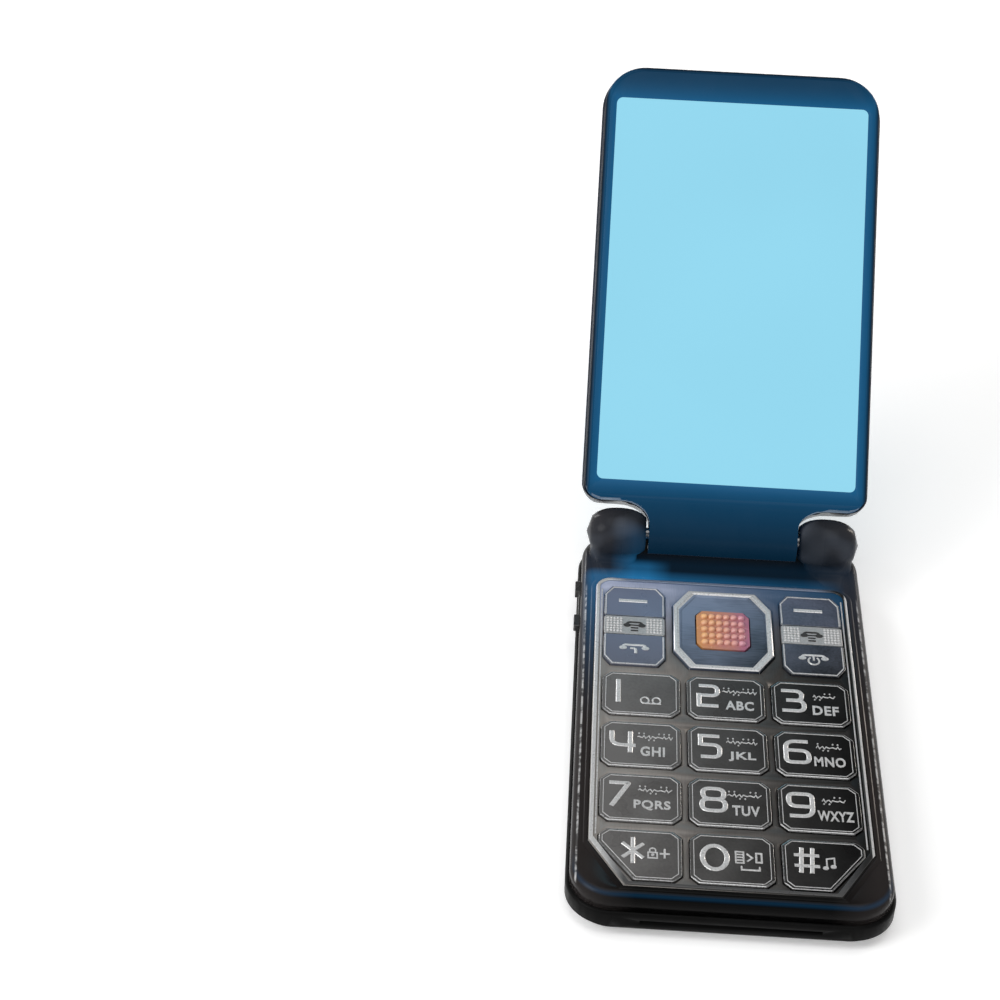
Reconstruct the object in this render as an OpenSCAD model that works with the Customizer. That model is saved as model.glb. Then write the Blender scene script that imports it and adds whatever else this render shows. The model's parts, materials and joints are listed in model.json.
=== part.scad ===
// Clamshell feature phone, lying open on its back.
// +X is right, +Y runs from the keypad's front end to the hinge, +Z is up.
// The origin is the middle of the flat back face of the base.

/* [Base] */
// Width of the base
body_w = 55; // [54:0.5:60]
// Length of the base from the front end to the hinge end
base_l = 102; // [100:0.5:108]
// Thickness of the base from the back to the rim of the keypad
base_t = 8.6; // [8.4:0.1:10]
// Corner radius of the base seen from above
base_r = 8; // [7:0.5:9]
// Height of the seam between the two base housings
seam_z = 4.9; // [4.6:0.1:5.2]
// Step in from the rear housing to the front housing
ledge = 0.6; // [0.3:0.1:0.9]
// Wall of the moulded shells
wall = 1.2; // [1:0.1:1.4]
// Thickness of the back wall
floor_t = 1; // [0.8:0.1:1.2]
// Thickness of the deck round the keypad
deck_t = 1.3; // [1.2:0.1:1.5]
// Radius of the rounded top edge of the front housing
rim_r = 1.6; // [1:0.1:2]
// Height of the slanted lower edge of the rear housing
skirt_h = 2; // [1:0.1:2.2]
// How far the slanted lower edge runs in
skirt_in = 1.8; // [1:0.1:2.2]
// Length of the long groove in each side
groove_l = 74; // [50:1:80]
// Length of the groove in the front end
front_groove_l = 30; // [20:1:34]
// Height of the grooves
groove_h = 0.8; // [0.5:0.1:1]
// Depth of the grooves
groove_d = 0.6; // [0.3:0.1:0.7]
// Height of the grooves above the back
groove_z = 3.3; // [3:0.1:3.8]

/* [Hinge] */
// Distance from the hinge axis to the hinge end of the base
hinge_back = 7.6; // [7:0.1:9]
// Angle from closed to fully open
open_angle = 135; // [120:1:150]
// Gap between the closed lid and the rim of the keypad
lid_gap = 1; // [0.8:0.1:1.4]
// Largest radius of the domed knuckles
knuckle_r = 4.8; // [4.4:0.1:4.8]
// Length of a knuckle along the axis
knuckle_l = 11.5; // [10:0.5:12]
// Gap between a knuckle and the lid's tongue
knuckle_gap = 0.6; // [0.4:0.1:1]
// Radius of the pivot pin
pin_r = 1.5; // [1.2:0.1:1.7]
// Radius of the cam shaft
cam_shaft_r = 1.2; // [1:0.1:1.4]
// Radius of the cam cartridge
cartridge_r = 2.5; // [2.2:0.1:2.8]
// Length of the cam cartridge
cartridge_l = 11; // [9:0.5:12]
// Running clearance of pins in their bores
run_fit = 0.05; // [0.03:0.01:0.08]
// Clearance of fixed pieces in their seats
seat_fit = 0.03; // [0.02:0.01:0.05]
// Length of a hinge pin inside a knuckle
pin_seat = 6; // [5:0.5:7]
// Length of a hinge pin inside the tongue
pin_reach = 7; // [5:0.5:8]
// Radius of the signal cable
cable_r = 0.7; // [0.5:0.1:0.8]

/* [Lid] */
// How much wider than the base the lid is, on each side
lid_over = 0.3; // [0:0.1:0.6]
// Thickness of the lid
lid_t = 7.8; // [7.6:0.1:8.4]
// Corner radius of the lid at its tip
tip_r = 8.5; // [8:0.5:10]
// Distance from the hinge axis to the lid's shoulders
shoulder = 6.2; // [6:0.1:6.6]
// Corner radius of the shoulders
shoulder_r = 3.4; // [2:0.1:4]
// Width of the tongue that reaches the hinge axis
tongue_w = 28.6; // [26:0.2:29]
// Width of the hollow curve from shoulder to tongue
neck_w = 6; // [4:0.1:6.5]
// Length of the hollow curve from shoulder to tongue
neck_l = 4.4; // [3:0.1:4.6]
// Height of the lid's seam below its middle
lid_seam = 0.5; // [0.3:0.1:0.8]
// Step in from the outer cover to the inner frame
frame_in = 0.5; // [0.3:0.1:0.8]
// Thickness of the outer cover's face
cover_t = 1; // [0.9:0.1:1.2]
// Thickness of the inner frame behind the bezel
frame_t = 0.8; // [0.6:0.1:1]
// Width of the inner frame's rim round the bezel
rim_w = 1; // [0.8:0.1:1.2]
// Thickness of the bezel and the main window
bezel_t = 0.7; // [0.6:0.1:0.8]
// Distance from the main window to the lid's sides
screen_side = 2.8; // [2.6:0.1:5]
// Distance from the main window to the lid's tip
screen_top = 7.2; // [7:0.1:10]
// Distance from the main window to the shoulders
screen_foot = 3.6; // [3.4:0.1:8]
// Corner radius of the main window
screen_r = 1.2; // [0.6:0.1:2]
// Thickness of the main display panel
panel_t = 1.25; // [1:0.05:1.3]
// Distance from the outer window to the lid's sides
outer_side = 12.75; // [11:0.05:16]
// Distance from the outer window to the lid's tip
outer_top = 23.1; // [18:0.1:30]
// Distance from the shoulders to the outer window
outer_up = 13.5; // [13:0.1:18]
// Corner radius of the outer window
outer_r = 2.4; // [1:0.1:3]
// Width of the camera ring
cam_w = 8; // [7:0.1:9]
// Corner radius of the camera ring
cam_r = 3; // [2:0.1:3.4]
// Height of the camera ring above the cover
cam_proud = 0.5; // [0.2:0.1:0.7]
// Distance from the shoulders to the middle of the camera
cam_up = 6.8; // [6.4:0.1:7.6]

/* [Keypad] */
// Distance from the keypad plate to the sides of the front housing
plate_side = 2.9; // [2.6:0.1:4]
// Distance from the front end to the keypad plate
plate_front = 3; // [2.6:0.1:4]
// Distance from the keypad plate to the hinge end
plate_rear = 16.1; // [15.6:0.1:18]
// Width of the cut corners at the plate's front
plate_cut_x = 6.1; // [4:0.1:6.5]
// Length of the cut corners at the plate's front
plate_cut_y = 10.2; // [8:0.1:10.5]
// Radius of the plate's corners at the hinge end
plate_r = 3; // [2:0.1:4]
// Thickness of the keypad plate
plate_t = 0.7; // [0.6:0.05:0.8]
// Width of the bright trim round the plate
trim_w = 0.7; // [0.5:0.1:0.8]
// Height of the trim and the keys above the rim
key_proud = 0.3; // [0.1:0.05:0.35]
// Bar of the plate between two columns of number keys
col_bar = 1.35; // [1.2:0.05:2]
// Bar of the plate between two rows of number keys
row_bar = 1.9; // [1.3:0.1:2.4]
// Edge of the plate beside the number keys
key_edge = 1.725; // [1.6:0.025:2.4]
// Edge of the plate in front of the number keys
front_edge = 1.15; // [1.1:0.05:2]
// Cut at a key's corners
key_cut = 1.5; // [0.8:0.1:2.5]
// Width of the outer cut on the star and hash keys
end_cut_x = 6; // [3:0.1:6.5]
// Length of the outer cut on the star and hash keys
end_cut_y = 8.4; // [4:0.1:9]
// Side gap round a key
key_gap = 0.2; // [0.15:0.05:0.25]
// Travel of a key
key_travel = 0.3; // [0.2:0.05:0.3]
// Edge of the plate behind the navigation key
nav_edge = 2.9; // [2:0.1:4]
// Bar of the plate between the navigation key and the number keys
nav_bar = 2.15; // [1.6:0.05:3]
// Width of the navigation key
nav_w = 18.7; // [17:0.1:19.5]
// Length of the navigation key
nav_h = 23.4; // [21:0.1:23.8]
// Width of the navigation key's cut corners
nav_cut_x = 2.9; // [2:0.1:4]
// Length of the navigation key's cut corners
nav_cut_y = 4.8; // [3:0.1:6]
// Width of the bright band of the navigation key
nav_band = 1.5; // [1:0.1:2]
// Width of the select key
select_w = 9.9; // [8:0.1:10.4]
// Length of the select key
select_h = 11.2; // [9:0.1:12]
// Bar of the plate between the navigation key and a side column
side_bar = 1.55; // [1.3:0.05:2]
// Edge of the plate beside a side column
side_edge = 1.7; // [1.6:0.05:2.4]
// Length of a strip key
strip_h = 5.3; // [4:0.1:6]
// Length of the volume rocker
rocker_l = 14; // [12:0.5:15]
// Height of the volume rocker
rocker_h = 1.5; // [1.2:0.1:1.6]
// How far the ends of the rocker stand out of the wall
rocker_proud = 1.1; // [0.6:0.1:1.2]
// Distance from the hinge axis to the middle of the rocker
rocker_back = 14.4; // [13:0.1:16]

/* [Inside] */
// Distance from the battery to the sides of the base
battery_side = 9.5; // [9:0.5:12]
// Distance from the battery to the front end of the base
battery_front = 29; // [27:0.5:32]
// Distance from the battery to the hinge end of the base
battery_rear = 25; // [24:0.5:28]
// Thickness of the battery
battery_t = 3.3; // [2.8:0.1:3.4]
// Thickness of the battery cover
battery_cover_t = 0.8; // [0.6:0.05:0.8]
// How far the battery cover reaches past the battery
cover_over = 4; // [3:0.1:5]
// Thickness of the main board
board_t = 0.8; // [0.6:0.1:0.9]
// Thickness of the rubber key mat
mat_t = 0.5; // [0.4:0.05:0.6]
// Height of the contact domes
dome_h = 0.3; // [0.2:0.05:0.35]
// Radius of the contact domes
dome_r = 1.9; // [1.5:0.1:2.2]
// Height of the shield can
shield_h = 0.65; // [0.5:0.05:0.7]
// Width of the shield can
shield_w = 30; // [24:0.5:32]
// Length of the shield can
shield_l = 16; // [12:0.5:18]
// Width of the holder of the identity card
sim_w = 15; // [13:0.5:16]
// Length of the holder of the identity card
sim_l = 13; // [11:0.5:14]
// Width of the holder of the memory card
card_w = 12; // [10:0.5:13]
// Length of the holder of the memory card
card_l = 14; // [12:0.5:15]
// Gap between the card holders and the shield can
holder_gap = 4; // [3:0.5:6]
// Length of the loudspeaker
speaker_l = 10; // [8:0.5:11]
// Width of the antenna
antenna_w = 32; // [24:0.5:34]
// Length of the antenna
antenna_l = 5; // [4:0.5:6]
// Width of the earpiece
earpiece_w = 12; // [10:0.5:13]
// Length of the earpiece
earpiece_l = 3.4; // [3:0.1:3.6]
// Width of the magnet
magnet_w = 4; // [3:0.1:4.4]
// Radius of a screw's shank
screw_r = 0.7; // [0.6:0.05:0.8]
// Radius of a screw's head
screw_head_r = 1.3; // [1.1:0.1:1.4]

/* [Hidden] */
$fn = 48;
eps = 0.01;
far = 200;

y_front = -base_l / 2;
y_rear = base_l / 2;
hinge_y = y_rear - hinge_back;
lid_half = lid_t / 2;
hinge_z = base_t + lid_gap + lid_half;
lid_w = body_w + 2 * lid_over;
lid_reach = hinge_y - y_front;
tongue_half = tongue_w / 2;
knuckle_in = tongue_half + knuckle_gap;

front_w = body_w - 2 * ledge;
front_l = base_l - 2 * ledge;
front_r = base_r - ledge;
rim_half = front_w / 2;

// Heights of the keypad stack, from the plate down to the board
plate_ledge = 0.4;
flange_t = 0.5;
flange_out = 0.3;
plate_z = base_t - plate_t;
flange_z = plate_z - 0.05 - flange_t;
mat_top = flange_z - key_travel - 0.05;
mat_z = mat_top - mat_t;
board_top = mat_z - dome_h;
board_z = board_top - board_t;
key_top = base_t + key_proud;
carrier_lift = 0.15;
carrier_t = 0.2;

// Plan of the keypad
plate_w = front_w - 2 * plate_side;
plate_y0 = y_front + plate_front;
plate_y1 = y_rear - plate_rear;
nav_y = plate_y1 - nav_edge - nav_h / 2;
keys_l = nav_y - nav_h / 2 - nav_bar - plate_y0 - front_edge;
key_h = (keys_l - 3 * row_bar) / 4;
key_w = (plate_w - 2 * key_edge - 2 * col_bar) / 3;
col_pitch = key_w + col_bar;
row_y = [for (i = [0:3]) plate_y0 + front_edge + key_h / 2 + (3 - i) * (key_h + row_bar)];
col_x = [-col_pitch, 0, col_pitch];
side_w = (plate_w - nav_w) / 2 - side_bar - side_edge;
side_x = plate_w / 2 - side_edge - side_w / 2;
soft_h = (nav_h - strip_h) / 2 - key_gap;
soft_y = nav_y + (strip_h + soft_h) / 2 + key_gap;
call_y = nav_y - (strip_h + soft_h) / 2 - key_gap;
side_cut = [1.4, 2.2];
select_cut = [1.1, 1.5];
rocker_y = hinge_y - rocker_back;
rocker_z = (seam_z + base_t - rim_r) / 2;
rocker_in = wall + 0.8;
rocker_flange_t = 0.4;
rocker_flange_out = 0.8;
rocker_bump = 3.6;
rocker_mid = 0.35;

// Plan of the inside of the base
battery_w = body_w - 2 * battery_side;
battery_l = base_l - battery_front - battery_rear;
battery_y = (battery_front - battery_rear) / 2;
battery_z = battery_cover_t + 0.1;
bay_ledge = 0.8;
board_w = front_w - 2 * wall - 2.4;
board_y0 = y_front + ledge + wall + 2.2;
board_y1 = hinge_y - 8;
screw_x = rim_half - wall - 3.2;
screw_y = [y_front + 8, hinge_y - 3.4];
boss_r = 1.7;
motor_r = 2;
motor_l = 6.4;
weight_l = 2.6;
motor_x = boss_r + 0.4 + weight_l - screw_x;
speaker_w = -2 * (motor_x + motor_l + 2.4);
shield_y = battery_y + (battery_l - shield_l) / 2 - 1;
holder_y = shield_y - shield_l / 2 - holder_gap - card_l / 2;
head_z = 0.5;
head_h = 0.8;

// Levels of the lid, in its own frame with the hinge axis at the origin
lid_parting = -lid_seam;
frame_w = lid_w - 2 * frame_in;
bezel_z = bezel_t - lid_half;
frame_z = bezel_z + frame_t;
cover_z = lid_half - cover_t;
panel_z = bezel_z + 0.05;
lid_board_t = 0.7;
lid_board_z = panel_z + panel_t + 0.3;
screen_w = lid_w - 2 * screen_side;
screen_l = lid_reach - screen_top - shoulder - screen_foot;
screen_s = lid_reach - screen_top - screen_l / 2;
panel_w = screen_w + 0.6;
panel_l = screen_l + 0.8;
bezel_s0 = shoulder + 1;
bezel_s1 = lid_reach - frame_in - rim_w;
bezel_w = frame_w - 2 * rim_w;
outer_w = lid_w - 2 * outer_side;
outer_l = lid_reach - outer_top - shoulder - outer_up;
outer_s = shoulder + outer_up + outer_l / 2;
outer_glass_t = 0.7;
outer_panel_t = 1.2;
cam_s = shoulder + cam_up;
cam_band = 0.7;
cam_seat = 0.6;
lid_screw_x = [tongue_half - 1.5, lid_w / 2 - 12];
lid_screw_s = [shoulder + 2.1, lid_reach - 3.9];
lid_shank_r = 0.5;
lid_head_r = 0.9;
lid_head_h = 0.6;
cable_channel = cable_r + 0.3;
cable_slot = cable_r + 0.1;

// Points of a rounded edge as [inset, height], from the side up to the top
function edge_up(r, top, steps = 6) =
    [for (i = [0:steps]) let (a = 90 * i / steps) [r - r * cos(a), top - r + r * sin(a)]];

// Points of a rectangle whose corners are cut by [x, y], from front left round to rear left
function cut_rect(w, h, c) = [
    [c[0].x - w / 2, -h / 2], [w / 2 - c[1].x, -h / 2],
    [w / 2, c[1].y - h / 2], [w / 2, h / 2 - c[2].y],
    [w / 2 - c[2].x, h / 2], [c[3].x - w / 2, h / 2],
    [-w / 2, h / 2 - c[3].y], [-w / 2, c[0].y - h / 2]
];

function same_cuts(c) = [c, c, c, c];

// Block with rounded corners whose sides follow a profile of [inset, height] points
module slab(w, l, r_front, r_rear, profile) {
    low = profile[0].y;
    high = profile[len(profile) - 1].y;
    right = [for (p = profile) [w / 2 - p.x, p.y]];
    left = [for (i = [len(profile) - 1:-1:0]) [profile[i].x - w / 2, profile[i].y]];
    translate([0, l / 2 - r_rear, 0])
        rotate([90, 0, 0])
        linear_extrude(l - r_front - r_rear)
        polygon(concat(right, left));
    for (end = [[-1, r_front], [1, r_rear]]) {
        reach = [for (p = profile) [end[0] * (l / 2 - p.x), p.y]];
        translate([end[1] - w / 2, 0, 0])
            rotate([90, 0, 90])
            linear_extrude(w - 2 * end[1])
            polygon(concat([[0, low]], reach, [[0, high]]));
        for (side = [-1, 1])
            translate([side * (w / 2 - end[1]), end[0] * (l / 2 - end[1]), 0])
            rotate_extrude()
            polygon(concat([[0, low]], [for (p = profile) [end[1] - p.x, p.y]], [[0, high]]));
    }
}

// Flat plate with rounded corners, standing on height z
module plate(w, l, r, z, t) {
    translate([0, 0, z])
        linear_extrude(t)
        union() {
            square([w - 2 * r, l], center = true);
            square([w, l - 2 * r], center = true);
            for (x = [-1, 1], y = [-1, 1])
                translate([x * (w / 2 - r), y * (l / 2 - r)])
                circle(r);
        }
}

// Plain block given by its two corners
module block(low, high) {
    translate(low)
        cube(high - low);
}

// Rod along X from x0 to x1 at a given place across it
module rod_x(r, x0, x1, y = 0, z = 0) {
    translate([x0, y, z])
        rotate([0, 90, 0])
        cylinder(r = r, h = x1 - x0);
}

// Outline of the keypad plate, grown by g on every side
module plate_outline(g = 0) {
    half = plate_w / 2 + g;
    y0 = plate_y0 - g;
    y1 = plate_y1 + g;
    r = plate_r + g;
    turn = [for (i = [0:6]) 90 * i / 6];
    polygon(concat(
        [[plate_cut_x - half, y0], [half - plate_cut_x, y0], [half, y0 + plate_cut_y]],
        [for (a = turn) [half - r + r * cos(a), y1 - r + r * sin(a)]],
        [for (a = turn) [r - half - r * sin(a), y1 - r + r * cos(a)]],
        [[-half, y0 + plate_cut_y]]
    ));
}

// Cuts at the corners of the number key in a row and column
function number_cuts(row, col) = [
    row == 3 && col == 0 ? [end_cut_x, end_cut_y] : [key_cut, key_cut],
    row == 3 && col == 2 ? [end_cut_x, end_cut_y] : [key_cut, key_cut],
    [key_cut, key_cut],
    [key_cut, key_cut]
];

// Prism of a cut rectangle at a place in the keypad
module key_prism(x, y, w, h, cuts, z0, z1) {
    translate([x, y, z0])
        linear_extrude(z1 - z0)
        polygon(cut_rect(w, h, cuts));
}

// Number key with its flange under the plate
module number_key(row, col) {
    cuts = number_cuts(row, col);
    color("#3a3d42") union() {
        key_prism(col_x[col], row_y[row], key_w, key_h, cuts, flange_z, key_top);
        key_prism(col_x[col], row_y[row], key_w + 2 * flange_out, key_h + 2 * flange_out, cuts,
            flange_z, flange_z + flange_t);
    }
}

// Cuts at the corners of a key in a side column, with the cut end at the rear or the front
function side_cuts(end) = [
    end < 0 ? side_cut : [0.3, 0.3], end < 0 ? side_cut : [0.3, 0.3],
    end > 0 ? side_cut : [0.3, 0.3], end > 0 ? side_cut : [0.3, 0.3]
];

// Key of a side column, with flanges on its two outer edges
module side_key(side, y, h, cuts, tint) {
    color(tint) union() {
        key_prism(side * side_x, y, side_w, h, cuts, flange_z, key_top);
        key_prism(side * side_x, y, side_w + 2 * flange_out, h - 4, same_cuts([0.3, 0.3]),
            flange_z, flange_z + flange_t);
    }
}

// Everything that shows through the keypad plate, grown by g
module key_windows(g) {
    for (row = [0:3], col = [0:2])
        translate([col_x[col], row_y[row]])
        polygon(cut_rect(key_w + 2 * g, key_h + 2 * g, number_cuts(row, col)));
    for (side = [-1, 1])
        translate([side * side_x, nav_y])
        polygon(cut_rect(side_w + 2 * g, nav_h + 2 * g, same_cuts(side_cut)));
    translate([0, nav_y])
        polygon(cut_rect(nav_w + 2 * g, nav_h + 2 * g, same_cuts([nav_cut_x, nav_cut_y])));
}

// Middles of the contact domes
dome_points = concat(
    [for (x = col_x, y = row_y) [x, y]],
    [for (side = [-1, 1], y = [soft_y, nav_y, call_y]) [side * side_x, y]],
    [[0, nav_y]],
    [for (s = [-1, 1]) [s * (nav_w / 2 - 2.4), nav_y]],
    [for (s = [-1, 1]) [0, nav_y + s * (nav_h / 2 - 2.4)]]
);

module at_screws() {
    for (x = [-screw_x, screw_x], y = screw_y)
        translate([x, y, 0])
        children();
}

// Lower half of the base with the battery bay, the screw posts and the long grooves
module base_rear_housing() {
    outside = [[skirt_in, 0], [0, skirt_h], [0, seam_z - 0.4], [0.4, seam_z]];
    inside = [[skirt_in, floor_t], [0, skirt_h + 0.4], [0, seam_z + 1]];
    shell = 2 * (wall + 0.2);
    color("#26282d") difference() {
        union() {
            difference() {
                slab(body_w, base_l, base_r, base_r, outside);
                slab(body_w - shell, base_l - shell, base_r - shell / 2, base_r - shell / 2, inside);
            }
            at_screws() cylinder(r = boss_r, h = board_z);
            translate([0, battery_y, 0])
                plate(battery_w + 2 * cover_over + 1, battery_l + 2 * cover_over + 1, 3, floor_t / 2,
                    battery_cover_t + bay_ledge - floor_t / 2);
        }
        translate([0, battery_y, 0]) {
            plate(battery_w + 2 * cover_over, battery_l + 2 * cover_over, 3, -eps, battery_cover_t + eps);
            plate(battery_w + 0.6, battery_l + 0.6, 1, 0, far);
        }
        at_screws() {
            translate([0, 0, -eps]) cylinder(r = screw_head_r + 0.2, h = head_z + head_h + eps);
            cylinder(r = screw_r + 0.1, h = far);
        }
        for (side = [-1, 1])
            translate([side * body_w / 2, 0, groove_z])
            cube([2 * groove_d, groove_l, groove_h], center = true);
        translate([0, y_front, groove_z])
            cube([front_groove_l, 2 * groove_d, groove_h], center = true);
    }
}

// Domed knuckle of the hinge on its foot, closed at its outer end
module knuckle() {
    power = 2.4;
    start = -0.82;
    steps = 12;
    half = knuckle_l / (1 - start);
    swell = [for (i = [0:steps]) let (t = start + (1 - start) * i / steps)
        [knuckle_r * pow(max(0, 1 - pow(abs(t), power)), 1 / power), (t - start) * half]];
    translate([knuckle_in, hinge_y, hinge_z])
        rotate([0, 90, 0])
        rotate([0, 0, 25])
        rotate_extrude()
        polygon(concat([[0, 0]], swell));
    translate([knuckle_in + knuckle_l / 2 + 0.2, hinge_y, 0])
        plate(knuckle_l - 2.4, 2 * knuckle_r - 2, 2.2, base_t - deck_t / 3, hinge_z - base_t - 0.6);
}

// Upper half of the base with the keypad recess and the two hinge knuckles
module base_front_housing() {
    outside = concat([[0, seam_z]], edge_up(rim_r, base_t));
    inside = [[0, seam_z - 1], [0, base_t - deck_t]];
    color("#1b2029") difference() {
        union() {
            difference() {
                slab(front_w, front_l, front_r, front_r, outside);
                slab(front_w - 2 * wall, front_l - 2 * wall, front_r - wall, front_r - wall, inside);
            }
            at_screws()
                translate([0, 0, board_top])
                cylinder(r = boss_r, h = base_t - deck_t / 2 - board_top);
            knuckle();
            mirror([1, 0, 0]) knuckle();
        }
        translate([0, 0, plate_z])
            linear_extrude(plate_t + 1)
            plate_outline(0.1);
        translate([0, 0, seam_z])
            linear_extrude(base_t)
            plate_outline(-plate_ledge);
        at_screws() cylinder(r = screw_r + 0.02, h = base_t - deck_t / 2);
        rod_x(pin_r + seat_fit, tongue_half, knuckle_in + pin_seat + 0.2, hinge_y, hinge_z);
        rod_x(cam_shaft_r + seat_fit, -knuckle_in - pin_seat, -tongue_half, hinge_y, hinge_z);
        translate([knuckle_in + pin_seat - cable_channel, hinge_y, base_t - 2 * deck_t])
            cylinder(r = cable_channel, h = hinge_z - base_t + 2 * deck_t - cable_r / 2);
        block([-far, rocker_y - rocker_l / 2 - 0.25, rocker_z - rocker_h / 2 - 0.2],
            [wall + 0.1 - rim_half, rocker_y + rocker_l / 2 + 0.25, rocker_z + rocker_h / 2 + 0.2]);
    }
}

module battery_cover() {
    color("#26282d")
        translate([0, battery_y, 0])
        plate(battery_w + 2 * cover_over - 0.2, battery_l + 2 * cover_over - 0.2, 2.9, 0, battery_cover_t);
}

module battery() {
    color("#5a5f66")
        translate([0, battery_y, 0])
        plate(battery_w, battery_l, 0.8, battery_z, battery_t);
}

// Three sprung blades between the battery's front end and the board
module battery_contacts() {
    color("#c9a24a")
        for (x = [-4, 0, 4])
            block([x - 0.8, battery_y - battery_l / 2 - 1.3, battery_z + 0.8],
                [x + 0.8, battery_y - battery_l / 2 - 0.1, board_z]);
}

module main_board() {
    mid = (board_y0 + board_y1) / 2;
    color("#2f6b45") difference() {
        translate([0, mid, 0])
            plate(board_w, board_y1 - board_y0, 5, board_z, board_t);
        at_screws() cylinder(r = screw_r + 0.2, h = far);
    }
}

module shield_can() {
    color("#b4b8bc")
        translate([0, shield_y, 0])
        plate(shield_w, shield_l, 0.8, board_z - shield_h, shield_h);
}

module sim_holder() {
    color("#9aa0a6")
        translate([-1.5 - sim_w / 2, holder_y, 0])
        plate(sim_w, sim_l, 0.5, board_z - shield_h, shield_h);
}

module card_holder() {
    color("#9aa0a6")
        translate([3.5 + card_w / 2, holder_y, 0])
        plate(card_w, card_l, 0.5, board_z - shield_h, shield_h);
}

// Speaker in the space between the battery and the hinge end
module loudspeaker() {
    color("#3b3b3b")
        translate([0, hinge_y - 3.5, 0])
        plate(speaker_w, speaker_l, 2, floor_t, seam_z - floor_t - 0.2);
}

module microphone() {
    color("#b08d4f")
        translate([0, y_front + wall + 4.4, board_z - 1.4])
        cylinder(r = 2, h = 1.4);
}

// Motor can with its offset weight
module vibration_motor() {
    color("#a9adb2") {
        rod_x(motor_r, motor_x, motor_x + motor_l, hinge_y - 3, floor_t + motor_r);
        intersection() {
            rod_x(motor_r - 0.2, motor_x - weight_l, motor_x, hinge_y - 3, floor_t + motor_r);
            block([-far, hinge_y - far, floor_t], [0, hinge_y + far, floor_t + motor_r + 0.4]);
        }
    }
}

module antenna() {
    color("#b87333")
        translate([0, y_front + wall + 8.6, 0])
        plate(antenna_w, antenna_l, 0.6, floor_t, 0.6);
}

// Two small switches behind the ends of the volume rocker
module volume_switches() {
    color("#8f949a")
        for (s = [-1, 1])
            block([1.15 - rim_half + wall, rocker_y + s * 4.6 - 1.5, board_top],
                [2.55 - rim_half + wall, rocker_y + s * 4.6 + 1.5, board_top + 0.9]);
}

module key_domes() {
    color("#c7c9cc")
        for (p = dome_points)
            translate([p.x, p.y, board_top])
            cylinder(r = dome_r, h = dome_h);
}

// Rubber mat under the keys, open under the navigation key
module key_mat() {
    color("#d8d8d4")
        translate([0, 0, mat_z])
        linear_extrude(mat_t)
        difference() {
            plate_outline(-1.3);
            translate([0, nav_y])
                polygon(cut_rect(nav_w + 1.2, nav_h + 1.2, same_cuts([nav_cut_x, nav_cut_y])));
        }
}

module keypad_plate() {
    color("#4c4f54")
        translate([0, 0, plate_z])
        linear_extrude(plate_t)
        difference() {
            plate_outline();
            key_windows(key_gap);
        }
}

// Bright raised line that follows the edge of the plate
module plate_trim() {
    color("#c9ccd0")
        translate([0, 0, base_t])
        linear_extrude(key_proud)
        difference() {
            plate_outline(-0.1);
            plate_outline(-0.1 - trim_w);
        }
}

module base_screws() {
    color("#8a8d92")
        at_screws() {
            translate([0, 0, head_z]) cylinder(r = screw_head_r, h = head_h);
            translate([0, 0, head_z]) cylinder(r = screw_r, h = base_t - deck_t - head_z);
        }
}

// Hollow pin in the right knuckle, slotted where the signal cable comes in from below
module pivot_pin() {
    color("#b9bcc0") difference() {
        rod_x(pin_r, tongue_half - pin_reach, knuckle_in + pin_seat, hinge_y, hinge_z);
        rod_x(cable_channel, -far, far, hinge_y, hinge_z);
        block([knuckle_in + pin_seat - 2 * cable_channel, hinge_y - cable_slot, 0],
            [far, hinge_y + cable_slot, hinge_z]);
    }
}

module cam_shaft() {
    color("#b9bcc0")
        rod_x(cam_shaft_r, -knuckle_in - pin_seat, pin_reach - tongue_half, hinge_y, hinge_z);
}

// Cable from the board up through the right knuckle to the hinge axis
module signal_cable_base() {
    x = knuckle_in + pin_seat - cable_channel;
    low = board_z + board_t / 2;
    color("#d9a441") union() {
        translate([x, hinge_y, low]) cylinder(r = cable_r, h = hinge_z - low);
        translate([x, hinge_y, hinge_z]) sphere(r = cable_r);
        rod_x(cable_r, tongue_half - pin_reach, x, hinge_y, hinge_z);
        translate([x, hinge_y, low]) sphere(r = cable_r);
        translate([x, hinge_y, low]) rotate([90, 0, 0]) cylinder(r = cable_r, h = hinge_y - board_y1);
    }
}

// Puts a piece drawn on the closed lid, with the axis at the origin, where it is on the open lid
module on_lid() {
    translate([0, hinge_y, hinge_z])
        rotate([-open_angle, 0, 0])
        children();
}

// Outline of the hollow curve from a shoulder to the tongue, measured from the shoulder
neck_curve = concat(
    [[tongue_half - 1, -2], [tongue_half - 1, neck_l]],
    [for (i = [0:8]) let (a = 90 * i / 8) [tongue_half + neck_w * (1 - cos(a)), neck_l * (1 - sin(a))]],
    [[tongue_half + neck_w, -2]]
);

// Tongue of the lid round the hinge axis, kept on one side of the lid's seam
module tongue(above) {
    low = above ? lid_parting : -lid_half;
    high = above ? lid_half : lid_parting;
    intersection() {
        union() {
            rod_x(lid_half, -tongue_half, tongue_half);
            block([-tongue_half, -shoulder - 2, -lid_half], [tongue_half, 0, lid_half]);
            for (side = [-1, 1])
                translate([0, -shoulder, -lid_half])
                linear_extrude(lid_t)
                polygon([for (p = neck_curve) [side * p.x, p.y]]);
        }
        block([-far, -far, low], [far, far, high]);
    }
}

// Bores of the tongue for the cartridge, the pivot pin and the signal cable
module tongue_bores() {
    rod_x(cartridge_r + seat_fit, -far, cartridge_l - tongue_half);
    rod_x(pin_r + run_fit, tongue_half - pin_reach - 0.3, far);
    rod_x(cable_channel, 0, tongue_half);
    translate([cable_channel, 0, 0])
        rotate([90, 0, 0])
        cylinder(r = cable_channel, h = shoulder + 4);
}

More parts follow.
